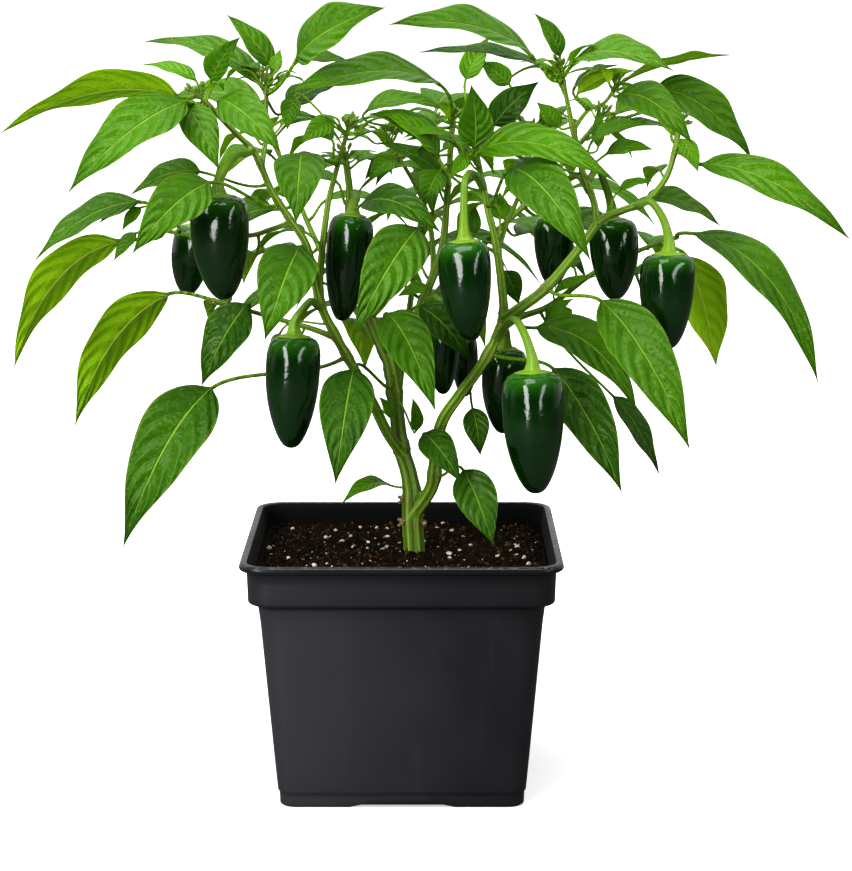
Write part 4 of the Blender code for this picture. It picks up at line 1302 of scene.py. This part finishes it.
SHOOT_TIPS = [name for name in stems if name not in (
    "trunk", "left_middle_twig", "left_low_twig", "rear_right_branch", "right_branch")]
for stem in SHOOT_TIPS:
    for k in range(5):
        name = "small_tip_%s_%d" % (stem, k)
        size = 17 + 7 * wobble(stem, k + 3)
        row = sprout(name, stem, 0.99, k * GOLDEN + wobble(stem), size, 0.1 - 0.12 * k)
        sprouts["tip_leaves"].append(row)
for stem, first, last, count, length in (
        ("centre_leader", 0.45, 0.95, 6, 44), ("left_upper_branch", 0.35, 0.95, 5, 38),
        ("left_leader", 0.55, 0.97, 5, 44), ("right_leader", 0.70, 0.97, 4, 38),
        ("right_fork", 0.30, 0.95, 4, 36), ("rear_right_branch", 0.35, 0.85, 4, 44),
        ("left_top_twig", 0.30, 0.95, 4, 34), ("right_upper_branch", 0.35, 0.90, 4, 36),
        ("right_branch", 0.55, 0.95, 4, 38), ("left_middle_twig", 0.30, 0.80, 3, 38),
        ("left_low_twig", 0.30, 0.85, 3, 36)):
    for k in range(count):
        share = first + (last - first) * k / (count - 1)
        name = "rear_%s_%d" % (stem, k)
        size = length + 8 * wobble(stem, k + 11)
        row = sprout(name, stem, share, k * GOLDEN + 2.0, size, 0.5 - 0.3 * k / count, 1.1)
        sprouts["rear_leaves"].append(row)
for zone in ("crown_back_leaves", "tip_leaves", "rear_leaves"):
    sprouts[zone] = [row for row in sprouts[zone] if clear_of_pods(row)]
SMALL_LEAF = 30
for zone, rows in sprouts.items():
    shell = Shell()
    for row in rows:
        small = (Vector(row[4]) - Vector(row[3])).length < SMALL_LEAF
        leaf_into(shell, row, leaf_tone_and_light(row[0], row[6]), 20 if small else 34, 9 if small else 11)
    add_piece(zone, shell.mesh(zone), leaf_tissue, "leaf_green")
    print(zone, len(rows))


# %% [markdown]
# ## Stems
# The stems are swept one by one with swellings where shoots leave, then fused into one skin with a
# voxel remesh, because on the plant a fork is one piece of wood and not two pipes. After that each
# point looks up the nearest bit of stem, and keeps how young it is, how corky, and the angle round
# it. The finish reads those. The trunk starts 3 mm lower, in the soil.

# %% Stem framework
VOXEL = 0.00063
SWELL = 0.15
RING = 0.11
runs = []
for stem in stems.values():
    count = len(stem.path) - 1
    length = count * STEM_STEP
    run = []
    for k, point in enumerate(stem.path):
        share = k / count
        gaps = [abs(share - node) * length for node in joints[stem.name]]
        swell = min(1.3, sum(math.exp(-(gap / 2.6) ** 2) for gap in gaps))
        ring = min(1.2, sum(math.exp(-((gap - 2.4) / 0.8) ** 2) for gap in gaps))
        foot = math.exp(-(k * STEM_STEP / 5.0) ** 2) if stem.name != "trunk" else 0
        if stem is trunk:
            swell, ring = 0.2 * swell, 0
        run.append((point, stem.at(share)[2] * (1 + SWELL * swell + RING * ring + 0.12 * foot)))
    if stem is trunk:
        run.insert(0, (run[0][0] - Vector((0, 0, 3)), run[0][1]))
    runs.append(run)
swept = sweep_mesh("stems_swept", runs, stem_bark, Sides=24, Ribs=6.0, Rib_Depth=0.085)
carrier = temporary("stems_swept", swept)
fuse = carrier.modifiers.new("fuse", "REMESH")
fuse.mode = "VOXEL"
fuse.voxel_size = VOXEL
relax = carrier.modifiers.new("relax", "SMOOTH")
relax.factor = 0.5
relax.iterations = 3
settled = carrier.evaluated_get(bpy.context.evaluated_depsgraph_get())
framework = bpy.data.meshes.new_from_object(settled)
bpy.data.objects.remove(carrier)

places = []
for stem in stems.values():
    side = any_side(stem.path[1] - stem.path[0])
    for k, (point, tangent, side) in enumerate(path_frames(stem.path, side)):
        share = k / (len(stem.path) - 1)
        gaps = [abs(share - node) * len(stem.path) * STEM_STEP for node in joints[stem.name]]
        near_node = max([math.exp(-((gap - 1.6) / 1.5) ** 2) for gap in gaps] + [0])
        youth = min(1, max(0, (4.6 - stem.at(share)[2]) / 3.4))
        places.append((point, tangent, side, youth, near_node))
bark_points = lookup([place[0] for place in places])
youth = np.empty(len(framework.vertices), dtype=np.float32)
cork = np.empty(len(framework.vertices), dtype=np.float32)
turns = np.empty((len(framework.vertices), 2), dtype=np.float32)
for vertex in framework.vertices:
    spot = vertex.co / MM
    point, tangent, side, young, corky = places[bark_points.find(spot)[1]]
    away = spot - point
    angle = math.atan2(away.dot(tangent.cross(side)), away.dot(side))
    youth[vertex.index] = young
    cork[vertex.index] = corky
    turns[vertex.index] = (angle / (2 * math.pi) + 0.5, spot.z / 100)
store(framework, "youth", "POINT", youth)
store(framework, "cork", "POINT", cork)
store_uv(framework, turns)
framework.shade_smooth()
add_piece("stem_framework", framework, stem_bark, "stem_bark", *stems)
print("stem faces:", len(framework.polygons))


# %% [markdown]
# ## Pedicels and calyxes
# Each pod hangs from a ribbed pedicel that leaves the bark square on, arches over and flares into the
# calyx, a thin disc that sits on the pod's shoulder like a cap.

# %% Pedicels
STALK_STEP = 1.6
CALYX_RIM = ((-0.5, 5.6), (-0.15, 7.4), (0.2, 8.2), (0.6, 8.3), (0.95, 7.6), (1.2, 2.0))
runs = []
for name, origin, out, bark, way, shoulder, axis, radius in stalk_routes:
    neck = shoulder - axis * 6.5
    route = [origin + out * bark * 0.5, origin + out * (bark + 2.5), *[Vector(p) for p in way], neck,
             shoulder - axis * 1.0]
    path = smooth_path(route, STALK_STEP)
    wide = radius / 14
    total = len(path) - 1
    run = []
    for k, point in enumerate(path):
        left = (total - k) * STALK_STEP
        flare = 1.5 * math.exp(-left / 4.0) + 0.7 * math.exp(-left / 13)
        foot = 0.6 * math.exp(-k * STALK_STEP / 2.5)
        run.append((point, (1.75 + foot + flare) * (0.5 + 0.5 * wide)))
    for height, reach in CALYX_RIM:
        run.append((shoulder + axis * height, reach * wide))
    runs.append(run)
stalks = sweep_mesh("pedicels", runs, pedicel_green, Sides=30, Ribs=5.0, Rib_Depth=0.07)
ends = lookup([route[5] for route in stalk_routes])
young = [max(0.4, 1 - ends.find(v.co / MM)[2] / 45) for v in stalks.vertices]
store(stalks, "youth", "POINT", young)
stalks.shade_smooth()
add_piece("pedicels_and_calyxes", stalks, pedicel_green, "stem_bark")


# %% [markdown]
# ## Buds
# Shoot tips carry tufts of flower buds on short stalks, and the joints have scars and bud knobs.
# They repeat by the hundred, so a tree puts one small bud on each point of a cloud, pointed along the
# direction stored there.

# %% Bud tree
def bud_tree():
    tree, inlet, outlet = geometry_group("buds", {"Length": 2.2})
    ball = node_out(tree, "GeometryNodeMeshUVSphere", {"Segments": 8, "Rings": 6, "Radius": 1.0})
    stretch = node_out(tree, "ShaderNodeCombineXYZ", {0: 1.0, 1: 1.0, 2: inlet["Length"]})
    ball = node_out(tree, "GeometryNodeTransform", {"Geometry": ball, "Scale": stretch})
    aim = node_out(tree, "GeometryNodeInputNamedAttribute", {"Name": "grow"}, data_type="FLOAT_VECTOR")
    size = node_out(tree, "GeometryNodeInputNamedAttribute", {"Name": "size"}, data_type="FLOAT")
    turn = node_out(tree, "FunctionNodeAlignRotationToVector", {"Vector": aim}, axis="Z")
    hand_out(tree, instances(tree, inlet["Geometry"], ball, turn, size), inlet, outlet)
    return tree


def bud_cloud(name, rows):
    """Points with a direction and a size, as a mesh of loose points."""
    mesh = bpy.data.meshes.new(name)
    mesh.from_pydata([point * MM for point, _, _ in rows], [], [])
    aims = np.array([direction[:] for _, direction, _ in rows], dtype=np.float32)
    mesh.attributes.new("grow", "FLOAT_VECTOR", "POINT").data.foreach_set("vector", aims.ravel())
    store(mesh, "size", "POINT", [size * MM for _, _, size in rows])
    return temporary(name, mesh)


def around(direction, angle, spread):
    side = any_side(direction)
    out = side * math.cos(angle) + direction.cross(side) * math.sin(angle)
    return (direction * math.cos(spread) + out * math.sin(spread)).normalized()


tips = [name for name in stems
        if name not in ("trunk", "left_middle_twig", "left_low_twig", "rear_right_branch")]
tuft_rows = []
tuft_stalks = []
for name in tips:
    point, direction, radius = stems[name].at(1.0)
    for k in range(11):
        aim = around(direction, k * GOLDEN, 0.25 + 0.075 * k)
        reach = 4.5 + 4.5 * abs(wobble(name, k))
        end = point + aim * reach
        tuft_rows.append((end, aim, 0.75 + 0.35 * abs(wobble(name, k + 20))))
        tuft_stalks.append([(point - direction * 0.5, 0.55), (point.lerp(end, 0.5), 0.42), (end, 0.45)])
scar_rows = []
for stem in stems.values():
    for n, share in enumerate(joints[stem.name]):
        point, direction, radius = stem.at(share)
        for k in range(2):
            aim = around(direction, k * GOLDEN + n + wobble(stem.name), 1.35)
            size = 0.5 * (1 + 0.4 * wobble(stem.name, k + n))
            scar_rows.append((point + aim * radius * 1.12, aim, size))
for share in joints["trunk"]:
    point, direction, radius = trunk.at(share)
    for k in range(18):
        side = 1 if k % 2 else -1
        aim = Vector((side, 0.7 * wobble("knob", k), 0.5 * wobble("knob", k + 40))).normalized()
        spot = point + aim * (radius + 1.1 + 1.2 * wobble("knob", k + 60))
        spot.z += wobble("knob", k + 80)
        scar_rows.append((spot, aim, 0.85 + 0.35 * wobble("knob", k + 20)))


def bud_material(name, first, second):
    material, tree, shader = new_material(name)
    mottle = use_group(tree, blotches, Scale=900.0, Contrast=2.0)[0]
    dress(tree, shader, Base_Color=blend(tree, mottle, srgb(*first), srgb(*second)), Roughness=0.5)
    add_bump(tree, shader, mottle, 0.0002, 0.7)
    return material


bud_green = bud_material("bud_green", (86, 118, 30), (150, 184, 72))
scar_brown = bud_material("scar_brown", (98, 82, 44), (200, 176, 128))
buds = bud_tree()
for name, rows, length, material in (("flower_buds", tuft_rows, 1.9, bud_green),
                                     ("node_scars", scar_rows, 1.3, scar_brown)):
    cloud = bud_cloud(name, rows)
    mesh = grow(cloud, buds, Length=length, Material=material)
    bpy.data.objects.remove(cloud)
    mesh.shade_smooth()
    add_piece(name, mesh, material, "stem_bark")
    print(name, len(rows))
tuft = sweep_mesh("bud_stalks", tuft_stalks, bud_green, Sides=6, Ribs=3.0, Rib_Depth=0.02)
tuft.shade_smooth()
add_piece("bud_stalks", tuft, bud_green, "stem_bark")


# %% [markdown]
# ## Stage, light and camera
# A white table that fades into a white back wall: the floor glows a little more with distance, so no
# horizon shows, and only the contact shadow is left. The room in front is dim, because a dark glossy
# pod shows whatever it faces. Two tall soft boxes beside the camera draw the long streaks on the pods,
# and a wide one above gives the leaves their modelling. The camera looks slightly down at the plant.

# %% Floor
FLOOR = 4.0
floor_mesh = bpy.data.meshes.new("floor")
corners = [(-FLOOR, -FLOOR, 0), (FLOOR, -FLOOR, 0), (FLOOR, FLOOR * 3, 0), (-FLOOR, FLOOR * 3, 0)]
floor_mesh.from_pydata(corners, [], [(0, 1, 2, 3)])
floor = temporary("floor", floor_mesh)
floor_white, tree, shader = new_material("floor_white")
place = add_node(tree, "ShaderNodeTexCoord").outputs["Object"]
distance = add_node(tree, "ShaderNodeVectorMath", {0: place}, operation="LENGTH")
glow = ramp(tree, distance.outputs["Value"], 0.08, 0.60, 0.42, 1.0)
seen = add_node(tree, "ShaderNodeLightPath").outputs["Is Camera Ray"]
dress(tree, shader, Base_Color=blend(tree, seen, (0.12, 0.12, 0.12, 1.0), (0.9, 0.9, 0.9, 1.0)),
      Roughness=0.8, Emission_Color=(1.0, 1.0, 1.0, 1.0), Emission_Strength=times(tree, glow, seen))
floor_mesh.materials.append(floor_white)


# %% Light
LIT_SPOT = Vector((0.0, 0.0, 0.24))


def soft_box(name, spot, width, height, power):
    """A rectangular lamp turned towards the middle of the plant, in metres and watts."""
    data = bpy.data.lights.new(name, "AREA")
    data.shape = "RECTANGLE"
    data.size = width
    data.size_y = height
    data.energy = power
    lamp = temporary(name, data)
    lamp.location = spot
    lamp.rotation_euler = (LIT_SPOT - Vector(spot)).to_track_quat("-Z", "Z").to_euler()


soft_box("left_box", (-0.76, -1.08, 0.62), 0.40, 1.3, 15)
soft_box("right_box", (0.98, -0.80, 0.62), 0.22, 1.2, 4.5)
soft_box("top_box", (-0.30, -0.45, 1.7), 1.3, 1.3, 17)
world = bpy.data.worlds.new("studio")
bpy.context.scene.world = world
world.use_nodes = True
sky = world.node_tree
_, y, z = parts(sky, "ShaderNodeTexCoord", "Generated")
rear = ramp(sky, y, -0.35, 0.55, 0.05, 0.68)
above = ramp(sky, z, 0.45, 0.95, 0.0, 0.38)
seen = add_node(sky, "ShaderNodeLightPath").outputs["Is Camera Ray"]
lit = maths(sky, "MAXIMUM", plus(sky, rear, above), seen)
grey = node_out(sky, "ShaderNodeCombineColor", {0: lit, 1: lit, 2: lit})
dress(sky, sky.nodes["Background"], Color=grey, Strength=1.0)


# %% Camera
camera_data = bpy.data.cameras.new("camera")
camera_data.lens = 104.8
camera_data.sensor_width = 36.0
camera_data.shift_y = -0.0040
camera_data.clip_end = 50.0
camera = temporary("camera", camera_data)
camera.location = (0.0121, -1.2830, 0.4118)
camera.rotation_euler = (math.radians(90 - 10.20), 0, 0)
bpy.context.scene.camera = camera
bpy.context.scene.view_settings.view_transform = "Standard"
bpy.context.scene.view_settings.look = "Medium High Contrast"
